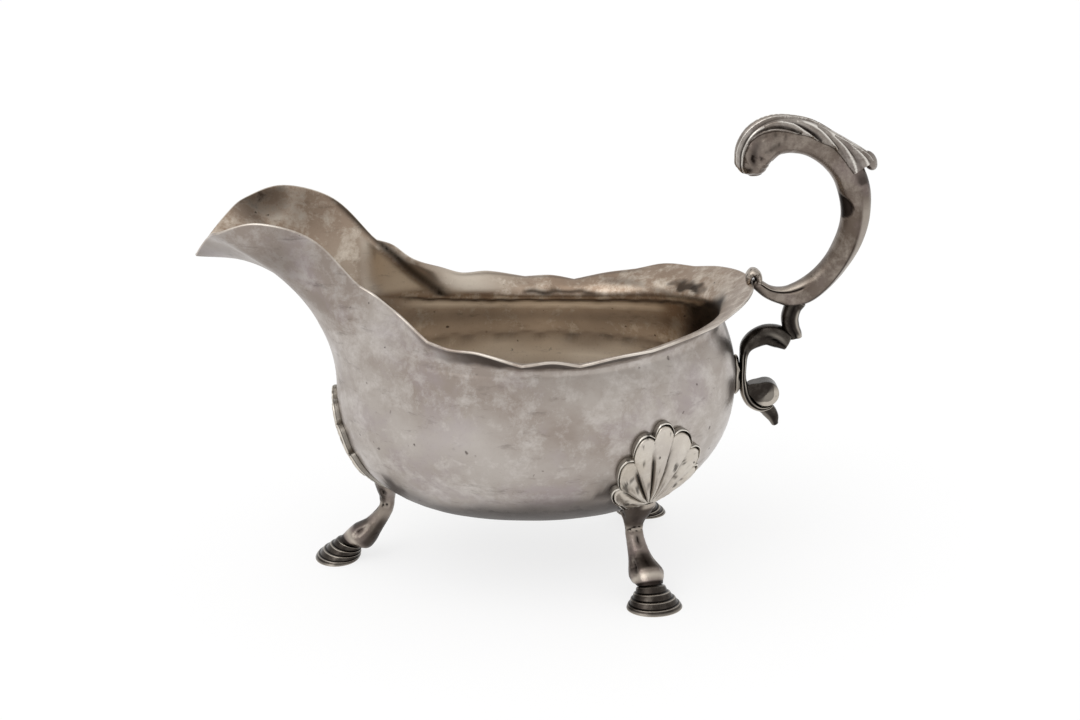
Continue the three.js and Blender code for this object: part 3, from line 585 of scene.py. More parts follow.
def innerStainsAndPaintedLight(p, turn, level, toRim, wave, fine):
    # the crease at the neck, the dark rear, marks on the flare, the spout's crest and the fold beside it;
    # shade is painted in the crease, below the neck, along the fold and at the step, and light on the
    # floor, walls, shoulder and flare
    x, y, z = p.x, abs(p.y), p.z
    above, pastSpout = ease((level - flareStart) / 2), ease((turn - 40) / 20)
    top = mix(67.2, 74.5, ease((x - 42.5) / 9)) + 0.6 * fine
    blot = 1 - ((y - 20 + 3 * fine) / 7) ** 2 - ((z - 70.8 - 1.6 * fine) / 1.6) ** 2
    crest = 1.35 - ((x + 73.5 + 0.35 * (z - 96)) / 9.5) ** 2 - ((z - 97) / 7.5) ** 2 + 0.2 * wave
    pastFold = x + 42.2 - 0.967 * (82.1 - z)
    # painted light on the floor and the lower walls inside the bowl
    low = strongest(
        paintedLights,
        floorBand=bump(z, 47.3 + wave, 2.5),
        floor=ease((46 - z) / 2),
        wall=(level < flareStart) * ease((38 - x) / 5),
    )
    # painted shade: crease, shade, fold and step; the other marks are darker places on the wall
    dark = strongest(
        stainsAndPaintedShade,
        crease=bump(level, flareStart - 0.5 + 0.6 * fine, 0.9) * pastSpout,
        shade=bump(level, flareStart - 8, 3) * (1 - low),
        rear=ease((x - 33 + 5 * wave) / 11) * ease((top - z) / 1.6) * ease((z - 48) / 9),
        streak=bump(z, 65.3 + 0.8 * fine, 0.8) * ease((x + 4) / 1.5) * ease((20 - x) / 5) * above,
        band=bump(z, 68.6 + wave, 0.8) * ease((x - 16) / 6) * ease((40 - x) / 4) * above,
        blot=ease(blot / 0.8) * (x > 30),
        crest=ease(crest / 1.4),
        crestFade=bump(x, -63, 9) * bump(z, 94, 8),
        fold=bump(pastFold, 0, mix(1.2, 2.2, ease((82 - z) / 10))) * ease((level - flareStart) / 4),
        outer=bump(toRim, 0.1, 0.07) * between(turn, 62, 10, 118, 12),
        step=bump(level, 19.4 + 0.5 * fine, 0.5),
    )
    # painted highlights on the shoulder under the neck, the flank, the flare and beside the fold
    light = strongest(
        paintedLights,
        shoulder=bump(level, flareStart - 3 + 0.5 * fine, 1.6) * ease((38 - x) / 5) * pastSpout,
        flank=bump(x, -50, 9) * bump(z, 76, 9) * above,
        flare=bump(x, -19, 11) * ease((z - 64.5) / 2) * above,
        foldSide=ease((x + 49) / 4) * ease((-1.6 - pastFold) / 2.5) * ease((z - 66) / 3),
    )
    return dark, max(low, light)


def makeBowl():
    columns = bowl["columns"]
    half = softened([uprightRow(180 * i * 2 / columns) for i in range(columns // 2 + 1)])
    levels = len(half[0])
    outside = []
    for level in range(levels):
        ring = []
        for i in range(columns):
            p = half[min(i, columns - i)][level].copy()
            if i > columns // 2:
                p.y = -p.y
            if i in (0, columns // 2):
                p.y = 0
            ring.append(p)
        outside.append(ring)
    pole = Vector((bowl["middleX"], 0, bowl["bottom"]))

    def facingAt(level, i):
        ring = outside[level]
        around = ring[(i + 1) % columns] - ring[i - 1]
        below = outside[level - 1][i] if level else pole
        above = outside[min(level + 1, levels - 1)][i]
        return around.cross(above - below).normalized()

    sign = -1 if facingAt(levels // 2, columns // 4).y > 0 else 1
    outer, inner = [], []
    for level in range(levels):
        outerRing, innerRing = [], []
        nearRim = ease((level - levels + 6) / 5)
        for i, p in enumerate(outside[level]):
            facing = facingAt(level, i) * sign
            q = p * 0.05
            dent = noise.noise(q) + 0.5 * noise.noise(q * 2.3)
            p = p + facing * dent * bowl["dents"] * ease(level / 6) * (1 - nearRim)
            outerRing.append(p)
            innerRing.append(p - facing * mix(bowl["wall"], bowl["rimWall"], nearRim))
        outer.append(outerRing)
        inner.append(innerRing)

    def marked(rings, stainsAndPaintedLightOf, side):
        # each point with how dark it is from stains and painted shade, how bright from painted light, how
        # worn, and which side of the wall it is on
        rows = []
        for level, ring in enumerate(rings):
            row = []
            toRim = (levels - 1 - level) / bowl["flareRows"]
            for i, p in enumerate(ring):
                wave, fine = noise.noise(p * 0.09), noise.noise(p * 0.3 + Vector((9, 0, 0)))
                turn = 360 / columns * min(i, columns - i)
                row.append((p, *stainsAndPaintedLightOf(p, turn, level, toRim, wave, fine), 0, side))
            rows.append(row)
        return rows

    # the rim is rounded over in three steps, carrying the outer wall's painted highlights and a painted
    # highlight along its edge
    rim = [[], [], []]
    for a, b, below in zip(outer[-1], inner[-1], outer[-2]):
        up = (a - below).normalized()
        middle = (a + b) / 2
        for k, ring in enumerate(rim):
            angle = math.pi * (k + 1) / 4
            p = middle + (a - middle) * math.cos(angle) + up * math.sin(angle) * bowl["rimWall"] / 2
            ring.append((p, 0, outerPaintedHighlight(p), 0.5 + noise.noise(p * 0.12), 0.5))
    rings = marked(outer, outerPaintedShadeAndLight, 0) + rim + marked(inner, innerStainsAndPaintedLight, 1)[::-1]
    last = pole + Vector((0, 0, bowl["wall"]))
    piece = ringPiece("boatBody", rings, pole, last, ("hollow_and_shade", "rub_and_sheen", "edge", "inside"))
    dressed(piece, "body_shell", "outer_silver", outerSilver, 60)


makeBowl()
print("bowl made")

# Feet: a foot stands at the middle of its sole and points outward along its heading

feet = [
    dict(name="front", cadName="front", sole=Vector((-53.925, 0, 0)), heading=180, side=0),
    dict(name="rearLeft", cadName="rear_left", sole=Vector((30.675, -32.0, 0)), heading=-75, side=1),
    dict(name="rearRight", cadName="rear_right", sole=Vector((30.675, 32.0, 0)), heading=75, side=-1),
]


def headingOf(foot):
    return Vector((math.cos(math.radians(foot["heading"])), math.sin(math.radians(foot["heading"])), 0))


def onFoot(foot, out, side, up):
    outward = headingOf(foot)
    across = Vector((-outward.y, outward.x, 0))
    point = foot["sole"] + outward * out + across * side
    point.z = up
    return point


shell = dict(
    hub=6.2, seam=0.06, thick=1.65, hubRise=0.4,
    focusIn=24, focusDrop=6.5, start=math.radians(-74), rearShift=1.2,
    edgeSteps=(0, 0.1, 0.22, 0.36, 0.5, 0.66, 0.84, 1.04, 1.28, 1.6, 2.0, 2.5), bands=18, step=0.42,
)
# half of the fan's edge from its top to its root, as lobes: corners and the points between them
shellLobes = [
    ((0.0, 37.6), (1.3, 37.2), (2.3, 35.8), (2.75, 34.1)),
    ((2.75, 34.1), (4.4, 35.0), (6.3, 34.4), (7.6, 32.6), (8.2, 30.2), (7.95, 28.3)),
    ((7.95, 28.3), (9.8, 28.1), (11.2, 26.3), (11.5, 23.2), (11.1, 20.6), (10.5, 18.9)),
    ((10.5, 18.9), (11.7, 18.2), (12.1, 16.3), (11.4, 13.4), (10.0, 11.0), (8.8, 9.4)),
    ((8.8, 9.4), (7.6, 6.9), (6.4, 4.6), (5.2, 2.6)),
    ((5.2, 2.6), (4.0, 1.1), (2.2, 0.2), (0.0, 0.0)),
]


def shellFocus(foot, across):
    side = across + foot["side"] * shell["rearShift"]
    return onFoot(foot, -shell["focusIn"], side, bellyHeight - shell["focusDrop"])


def tilted(foot, angle):
    direction = headingOf(foot) * math.cos(angle)
    direction.z = math.sin(angle)
    return direction


def underShell(foot, across, up, lift):
    if "reach" not in foot:
        focus = shellFocus(foot, 0)
        foot["reach"] = (leaveBowl(focus, tilted(foot, shell["start"])) - focus).length
    point = leaveBowl(shellFocus(foot, across), tilted(foot, shell["start"] + up / foot["reach"]))
    return point + bowlFacing(point) * lift


def alongPoints(points, share):
    # a smooth run through the points of one lobe
    place = share * (len(points) - 1)
    i = min(int(place), len(points) - 2)
    t = place - i
    a = points[max(i - 1, 0)]
    b, c = points[i], points[i + 1]
    d = points[min(i + 2, len(points) - 1)]
    if i == 0:
        a = (2 * b[0] - c[0], 2 * b[1] - c[1])
    if i + 2 > len(points) - 1:
        d = (2 * c[0] - b[0], 2 * c[1] - b[1])
    return [
        0.5 * (2 * b[k] + (c[k] - a[k]) * t + (2 * a[k] - 5 * b[k] + 4 * c[k] - d[k]) * t * t
               + (3 * b[k] - a[k] - 3 * c[k] + d[k]) * t**3)
        for k in (0, 1)
    ]


def shellEdge():
    # the fan's edge, point by point: across, up, share of the way through its lobe, and the lobe
    edge = []
    for number, points in enumerate(shellLobes):
        length = sum(math.dist(a, b) for a, b in zip(points, points[1:]))
        count = round(length / shell["step"])
        for k in range(count):
            x, y = alongPoints(points, k / count)
            through = 0.5 + k / count / 2 if number == 0 else k / count
            edge.append((x, y, through, number))
    edge.append((0, 0, 1, 5))
    other = [(-x, y, through, number) for x, y, through, number in edge[1:-1]]
    return edge + other[::-1]


def shellRelief(through, number, inward, share):
    # how far the plate stands off the bowl, how dark and how bright it is, some mm inward of its edge:
    # tarnish and painted shade in the grooves and the trench inside the lip, painted shade along the outer
    # edge and a painted highlight on the lip
    ray = 0
    if number < 4:
        ends = (1,) if number == 0 else (0, 1)
        ray = max(bump(through, end, mix(0.24, 0.12, share)) for end in ends)
    deep = 0.12 + 0.68 * between(share, 0.12, 0.14, 0.58, 0.34)
    field = mix(1, 0.93, (2 * through - 1) ** 2) * (1 - deep * ray)
    field = mix(0.62, field, ease((inward - 0.85) / 0.8))
    lip = 0.9 * (0.62 + 0.38 * ease(inward / 0.34)) * (1 - ease((inward - 0.56) / 0.26))
    trench = bump(inward, 0.9, 0.22) * (0.8 if share > 0.3 else 0)
    lift = max(lip, field) - 0.28 * trench
    # tarnish and painted shade in grooves and trench, painted shade along the outer edge; a painted
    # highlight on the lip
    dark = max(0.95 * (deep - 0.1) * ray**2, 0.85 * trench, 0.45 * (1 - ease(inward / 0.14)))
    bright = max(0, bump(inward, 0.46, 0.2) - trench)
    return lift, dark, bright


def makeShellPlate(foot):
    edge = shellEdge()
    seam, hub, bands = shell["seam"], shell["hub"], shell["bands"]
    rings = []
    for k in range(bands + len(shell["edgeSteps"])):
        ring = []
        for x, y, through, number in edge:
            length = math.dist((x, y), (0, hub))
            if k < bands:
                share = mix(0.07, 1 - shell["edgeSteps"][-1] / length, (k / bands) ** 0.9)
            else:
                share = 1 - shell["edgeSteps"][bands - 1 - k] / length
            inward = (1 - share) * length
            across, up = x * share, mix(hub, y, share)
            lift, dark, bright = shellRelief(through, number, inward, share)
            lift *= mix(0.62, 1, ease((up - 4) / 12))
            # the plate swells toward the knee, is pitted all over and worn dark in places
            rise = shell["hubRise"] * bump(up, 7, 6) * ease(inward / 4.5)
            pitted = 0.1 * noise.noise(Vector((across, up, foot["heading"])) * 1.1)
            worn = noise.noise(Vector((across * 0.8, up * 0.35, foot["heading"] * 0.1)))
            worn = 0.7 * ease((worn - 0.44) / 0.08) * ease((share - 0.3) / 0.2)
            proud = seam + shell["thick"] * (lift + pitted * ease(inward / 2)) + rise
            ring.append((underShell(foot, across, up, proud), max(dark, worn), bright))
        rings.append(ring)
    # the plate's side wall and underside are painted in shade
    for share, dark in ((1, 0.5), (0.75, 1), (0.4, 1)):
        ring = [underShell(foot, x * share, mix(hub, y, share), seam) for x, y, *lobe in edge]
        rings.append([(p, dark, 0) for p in ring])
    last = underShell(foot, 0, hub, seam)
    piece = ringPiece(foot["name"] + "Shell", rings, middleOf(rings[0]), last, ("hollow_and_shade", "edge"))
    dressed(piece, foot["cadName"] + "_shell_plate", "worn_silver", wornSilver, 60, 2, 0.12, 0.7)


hoof = dict(
    length=12.1, width=14.6, height=5.7, heelHeight=3.3, topLength=5.2, topWidth=5.8, topOut=-3.7,
    step=0.55, sides=48,
)


def hoofLevel(share, outset):
    topToe = hoof["topOut"] + hoof["topLength"] / 2
    topHeel = hoof["topOut"] - hoof["topLength"] / 2
    return dict(
        toe=mix(hoof["length"] / 2, topToe, share**1.2) + outset,
        heel=mix(-hoof["length"] / 2, topHeel, share**0.6) - outset * 0.5,
        toeUp=hoof["height"] * share,
        heelUp=hoof["heelHeight"] * share,
        half=mix(hoof["width"], hoof["topWidth"], share) / 2 + outset,
    )


def hoofRing(foot, share, outset, lip=0):
    level = hoofLevel(share, outset)
    ring = []
    for i in range(hoof["sides"]):
        angle = math.tau * i / hoof["sides"]
        along = (1 + math.cos(angle)) / 2
        out = mix(level["heel"], level["toe"], along)
        up = mix(level["heelUp"], level["toeUp"], along)
        ring.append((onFoot(foot, out, math.sin(angle) * level["half"], up), lip))
    return ring


# each tier rises dark to a thin bright lip, then falls back under the next: (way up, swell, lip)
hoofTier = (
    (0.05, 0.2, 0), (0.3, 0.5, 0), (0.55, 0.75, 0), (0.7, 0.88, 0), (0.78, 0.96, 0.15), (0.83, 1.0, 1),
    (0.87, 0.9, 0.5), (0.9, 0.5, 0), (0.94, 0.1, 0),
)
# how far each tier swells, as a share of the step, and how bright its lip and its lowest edge are
hoofSwells = ((0.75, 0.8, 0.4), (1.0, 0.95, 0), (1.0, 0.95, 0), (1.25, 0.1, 0))


def makeHoof(foot):
    rings = [hoofRing(foot, 0, -1.2), hoofRing(foot, 0, -0.4), hoofRing(foot, 0.003, 0.0, 0.5)]
    for tier, (swell, bright, low) in enumerate(hoofSwells):
        for t, bulge, lip in hoofTier:
            share = (tier + t) / len(hoofSwells)
            lip = lip * bright + (low if t < 0.4 else 0)
            rings.append(hoofRing(foot, share, hoof["step"] * swell * bulge, lip))
    rings.append(hoofRing(foot, 1.03, -0.3))
    first = onFoot(foot, 0, 0, 0)
    tip = hoofLevel(1, 0)
    last = onFoot(foot, (tip["toe"] + tip["heel"]) / 2, 0, (tip["toeUp"] + tip["heelUp"]) / 2 + 0.1)
    piece = ringPiece(foot["name"] + "Hoof", rings, first, last, ("edge",))
    subdivided(piece)
    dressed(piece, foot["cadName"] + "_hoof", "dark_silver", darkSilver, 70, 1, 0.1, 1.2)


legSizes = dict(
    fetlockDepth=7.5, fetlockWidth=9.1, fetlockIn=3.4, fetlockRise=0.6,
    shankDepth=4.0, shankWidth=4.7, shankIn=9.8, kneeDepth=7.4, kneeWidth=9.6, rearLean=1.2,
    steps=120, sides=48, buried=0.6,
)
# where each mark lies, in stops from the root
legMarks = dict(
    root=0.35, slot=1.15, kneeEnd=2.1, pits=2.45, flank=2.5, behind=3, worn=3.2, crack=3.3, bandStart=3.75,
    dish=4.75, behindEnd=4.9, bandEnd=4.95, shine=5.5, ledge=5.74,
)


def legStops(foot):
    root = underShell(foot, 0, legSizes["kneeDepth"] / 2, 0)
    rootOut = (root - foot["sole"]).dot(headingOf(foot))
    lean = -foot["side"] * legSizes["rearLean"]
    shankOut = hoof["topOut"] - legSizes["shankIn"]
    fetlockOut = hoof["topOut"] - legSizes["fetlockIn"]
    fetlockUp = hoof["height"] + legSizes["fetlockRise"]
    shankUp = mix(fetlockUp, root.z, 0.475)
    tip = hoofLevel(1, 0)
    depth, width = legSizes["shankDepth"], legSizes["shankWidth"]
    rows = (
        (rootOut - 0.2, root.z + 0.4, 0.3 * lean, legSizes["kneeDepth"], legSizes["kneeWidth"]),
        (rootOut - 0.2, root.z - 2.3, 0.5 * lean, legSizes["kneeDepth"] - 1.6, legSizes["kneeWidth"] - 0.6),
        (rootOut - 0.25, mix(shankUp, root.z, 0.4), lean, depth + 0.3, width + 0.8),
        (shankOut, shankUp, lean, depth, width),
        (mix(fetlockOut, shankOut, 0.51), mix(fetlockUp, shankUp, 0.42), 0.6 * lean,
         depth + 1.2, width + 1.4),
        (fetlockOut, fetlockUp, 0, legSizes["fetlockDepth"], legSizes["fetlockWidth"]),
        ((tip["toe"] + tip["heel"]) / 2, (tip["toeUp"] + tip["heelUp"]) / 2, 0,
         hoof["topLength"] + 0.5, hoof["topWidth"] + 0.9),
    )
    return [
        dict(place=place, out=out, up=up, side=side, depth=depth, width=width)
        for place, (out, up, side, depth, width) in enumerate(rows)
    ]


def offBowl(foot, p, lift):
    # a point that would lie in the bowl or in its plate is pushed out along its ray
    focus = shellFocus(foot, 0)
    ray = p - focus
    surface = leaveBowl(focus, ray.normalized())
    surface += bowlFacing(surface) * lift
    return surface if (surface - focus).length > ray.length else p


def legRelief(foot, place, front, side, lumps):
    # how much narrower and how much deeper the leg is at a place, and how dark and how bright from wear and
    # painted highlights; front and side run from -1 to 1 round it. The fetlock's flanks are hollowed, the
    # shank's front is pitted. Shade is painted on the knee under the plate and on the leg's back, toward
    # the bowl, and highlights round the fetlock and on the flanks
    marks, flank = legMarks, abs(side)
    dish = bump(place, marks["dish"], 0.5) * bump(front, 0.6, 0.16) * ease((flank - 0.55) / 0.2)
    slot = bump(place, marks["slot"], 0.4) * bump(front, 0.25, 0.26)
    slot = max(slot, 0.8 * bump(place, marks["flank"], 0.14) * bump(front, 0, 0.2))
    slot *= ease((flank - 0.6) / 0.2)
    pits = bump(place, marks["pits"], 0.3) * ease(front / 0.5)
    crack = bump(place, marks["crack"], 0.25) * bump(side, 0, 0.22) * (front > 0)
    forward = ease((front + 0.1) / 0.4)
    root = (1 - ease((place - marks["root"]) / 0.4)) * forward * ease(side * foot["side"] / 0.4 + 0.4)
    band = between(place, marks["bandStart"], 0.35, marks["bandEnd"], 0.3)
    behind = between(place, marks["behind"], 0.7, marks["behindEnd"], 0.5)
    dark = max(
        # painted shade on the knee, under the plate
        0.6 * (1 - ease((place - marks["kneeEnd"]) / 0.4)) * forward * (1 - root),
        0.85 * band * ease((front + 0.3) / 0.4) * (1 - 0.7 * flank),
        0.95 * ease((place - marks["ledge"]) / 0.1),
        # painted shade on the leg's back, toward the bowl
        0.75 * behind * ease((0.25 - front) / 0.5),
        0.75 * dish, 0.8 * slot, 0.9 * pits * ease((lumps - 0.12) / 0.15), 0.95 * crack,
    )
    rub_and_sheen = max(
        # painted highlights round the fetlock and on the flanks
        0.95 * bump(place, marks["shine"], 0.2) * ease((front + 0.5) / 0.5),
        0.5 * bump(place, marks["flank"], 0.4) * ease((flank - 0.8) / 0.15),
        0.35 * bump(place, marks["worn"], 0.5), 0.6 * pits, 0.8 * root, 0.7 * bump(dish, 0.3, 0.2),
    )
    sunk = 0.48 * pits * max(0, lumps) + 0.35 * crack + 0.06 * lumps
    return 0.22 * dish + 0.16 * slot, sunk, dark, rub_and_sheen


def makeLeg(foot):
    stops = legStops(foot)
    last = len(stops) - 1
    endTilt = math.atan2(hoof["height"] - hoof["heelHeight"], hoof["topLength"])
    rings = []
    for k in range(legSizes["steps"] + 1):
        place = last * k / legSizes["steps"]
        ahead = min(place + 0.01, last)
        outRun = smoothRun(stops, "out", ahead) - smoothRun(stops, "out", ahead - 0.02)
        downRun = smoothRun(stops, "up", ahead - 0.02) - smoothRun(stops, "up", ahead)
        tilt = mix(math.atan2(outRun, downRun), endTilt, max(0, place - last + 1))
        out, side, up, depth, width = (
            smoothRun(stops, key, place) for key in ("out", "side", "up", "depth", "width"))
        middle = onFoot(foot, out, side, up)
        ring = []
        for i in range(legSizes["sides"]):
            angle = math.tau * i / legSizes["sides"]
            front, across = math.cos(angle), math.sin(angle)
            along = front * depth / 2
            reach = across * width / 2 * (1 - legRelief(foot, place, front, across, 0)[0])
            p = onFoot(foot, out + along * math.cos(tilt), side + reach, up + along * math.sin(tilt))
            sunk, dark, rub_and_sheen = legRelief(foot, place, front, across, noise.noise(p * 1.3))[1:]
            p += (middle - p).normalized() * sunk
            ring.append((offBowl(foot, p, legSizes["buried"]) if place < 3 else p, dark, rub_and_sheen))
        rings.append(ring)
    start = offBowl(foot, middleOf(rings[0]), legSizes["buried"])
    piece = ringPiece(foot["name"] + "Leg", rings, start, middleOf(rings[-1]), ("hollow_and_shade", "rub_and_sheen"))
    dressed(piece, foot["cadName"] + "_leg", "cast_silver", castSilver, 70, 3, 0.06, 0.6)


for foot in feet:
    makeShellPlate(foot)
    makeLeg(foot)
    makeHoof(foot)
print("feet made")

# Handle: bars laid out in the boat's middle plane, as steps behind and above where they are soldered

rimRear = flareCurve(180)[3]
padDrop, padThick = 15.4, 1.3
wallRear = bowlPoint(180, neckHeightAt(180) - padDrop)
padOuter = wallRear + Vector((padThick, 0, 0))


def barStops(origin, rows):
    return [
        dict(place=place, x=origin.x + x, z=origin.z + z, depth=depth, width=width)
        for place, (x, z, depth, width) in enumerate(rows)
    ]


def barFrame(stops, place):
    last = len(stops) - 1
    ahead = min(place + 0.01, last)
    back = max(ahead - 0.02, 0)
    run = Vector((
        smoothRun(stops, "x", ahead) - smoothRun(stops, "x", back), 0,
        smoothRun(stops, "z", ahead) - smoothRun(stops, "z", back),
    )).normalized()
    middle = Vector((smoothRun(stops, "x", place), 0, smoothRun(stops, "z", place)))
    depth, width = smoothRun(stops, "depth", place), smoothRun(stops, "width", place)
    return middle, depth, width, run, Vector((-run.z, 0, run.x))


def barSkin(section, angle, squareness, grown=0):
    middle, depth, width, run, outer = section
    u = signedPower(math.cos(angle), 2 / squareness) * (depth / 2 + grown)
    v = signedPower(math.sin(angle), 2 / squareness) * (width / 2 + grown)
    return middle + outer * u + Vector((0, v, 0))


capAngles = (72, 50, 26)
mainBar = dict(name="mainScroll", steps=260, sides=72, squareness=2.4, ends=(0.3, 0.4))
lowerBar = dict(sides=48, squareness=2.5)


def makeBar(bar, stops, shape):
    # shape takes a point, its place along the bar and its share from inner (-1) to outer (1) edge,
    # and gives the point back with how dark and how rubbed it is
    last, steps, sides, ends = len(stops) - 1, bar["steps"], bar["sides"], bar["ends"]
    sections = [(0, cap, -ends[0]) for cap in capAngles]
    sections += [(last * k / steps, 0, 0) for k in range(steps + 1)]
    sections += [(last, cap, ends[1]) for cap in capAngles[::-1]]
    rings = []
    for place, cap, bulge in sections:
        section = barFrame(stops, place)
        middle, depth, width, run, outer = section
        shift = run * math.sin(math.radians(cap)) * depth / 2 * bulge
        ring = []
        for i in range(sides):
            p = barSkin(section, math.tau * i / sides, bar["squareness"])
            p, dark, rub_and_sheen = shape(p, place, (p - middle).dot(outer) / (depth / 2))
            ring.append((middle + (p - middle) * math.cos(math.radians(cap)) + shift, dark, rub_and_sheen))
        rings.append(ring)
    first, final = barFrame(stops, 0), barFrame(stops, last)
    start = first[0] - first[3] * first[1] / 2 * ends[0]
    end = final[0] + final[3] * final[1] / 2 * ends[1]
    return ringPiece(bar["name"], rings, start, end, ("hollow_and_shade", "rub_and_sheen"))


volute, grip, scrollEnd = 8.6, 8.0, 4.4
mainStops = barStops(rimRear, (
    (-0.3, 28.9, 3.6, volute * 0.5), (-0.4, 29.6, 5.8, volute * 0.75), (-0.6, 30.7, 7.2, volute * 0.92),
    (-0.6, 32.3, 7.9, volute), (0.0, 34.4, 9.0, volute), (1.7, 36.7, 9.5, volute),
    (4.4, 38.2, 9.1, volute), (8.2, 38.5, 8.4, volute), (12.3, 37.8, 7.9, grip),
    (16.0, 36.0, 7.4, grip), (19.9, 33.2, 7.6, grip), (23.3, 29.4, 8.2, grip),
    (25.2, 24.6, 8.2, grip), (25.9, 19.4, 7.6, grip), (25.5, 14.9, 7.2, grip),
    (24.0, 10.2, 6.9, grip), (21.4, 5.4, 6.4, mix(grip, scrollEnd, 0.2)),
    (18.0, 1.2, 6.4, mix(grip, scrollEnd, 0.35)), (14.2, -1.9, 6.6, mix(grip, scrollEnd, 0.5)),
    (10.6, -3.3, 6.0, mix(grip, scrollEnd, 0.7)), (7.2, -3.2, 4.4, mix(grip, scrollEnd, 0.9)),
    (4.2, -2.3, 3.5, scrollEnd), (1.6, -0.5, 3.0, scrollEnd), (0.5, 0.3, 2.6, scrollEnd - 0.4),
))


# where each mark lies, in stops from the rolled end
mainMarks = dict(
    rust=1.9, valley=3.6, second=5.6, beatenEnd=7, oval=11.5, patch=11.55, bevel=12, ridge=13, line=14,
    edge=17, channel=17.4, bevelEnd=18.8, edgeEnd=20.4, foot=20.6, channelEnd=21.6, sole=22,
)


def mainShape(p, place, u):
    # the grip has a ridge on either side, with a bevel from it to the back; its inner edge is worn
    marks = mainMarks
    inY = ease(abs(p.y) / 1.5)
    bevelled = between(place, marks["bevel"], 1.2, marks["bevelEnd"], 0.7)
    ridge = mix(0.2, 0.78, ease((place - marks["ridge"]) / 5.5))
    if u > ridge:
        p.y *= 1 - 0.55 * bevelled * (u - ridge) / (1.02 - ridge)
    t = (place - marks["oval"]) / 1.9
    broad = 0.8 * ease(t / 0.65) * math.sqrt(max(0, 1 - max(0, (t - 0.65) / 0.35) ** 2))
    oval = ease((broad - 1.03 - u) / 0.14)
    p.y *= 1 - 0.2 * oval
    channel = bump(u, -0.52, 0.1) * between(place, marks["channel"], 1.4, marks["channelEnd"], 0.8)
    # the scroll's rolled end is hollowed on either side, and beaten
    valley = bump(u - 0.12 * (place - 4), 0.28, 0.24) * bump(place, marks["valley"], 1.3)
    second = bump(u, -0.35, 0.2) * bump(place, marks["second"], 0.8)
    lumps = noise.noise(p * 0.42 + Vector((3, 0, 0)))
    beaten = 0.5 * lumps * (1 - ease((place - marks["beatenEnd"]) / 2))
    pinch = 0.4 * channel + 0.7 * valley + 0.35 * second + beaten
    p.y -= math.copysign(pinch * inY, p.y)
    dark = max(
        0.95 * oval, 0.8 * channel, 0.75 * valley, 0.5 * second,
        0.75 * bump(u, ridge - 0.05, 0.07) * bevelled * mix(0.3, 1, ease(place - marks["line"])),
        0.7 * bump(place, marks["patch"], 0.45) * ease((u - 0.1) / 0.3) * ease((lumps + 0.35) / 0.3),
        0.85 * bump(place, marks["rust"], 0.5) * bump(u, 0.45, 0.3),
        0.65 * ease((place - marks["foot"]) / 1.6) * ease((u + 0.2) / 0.6),
        0.6 * ease((place - marks["sole"]) / 0.6),
    )
    edge = bump(u, -0.82, 0.18) * between(place, marks["edge"], 1.5, marks["edgeEnd"], 0.8)
    return p, dark * inY, (0.55 * bevelled * ease((u - ridge) / 0.25) + 0.7 * edge) * inY


def makeMainScroll():
    piece = makeBar(mainBar, mainStops, mainShape)
    dressed(piece, "handle_main_scroll", "cast_silver", castSilver, 50, 2, 0.06, 0.9)


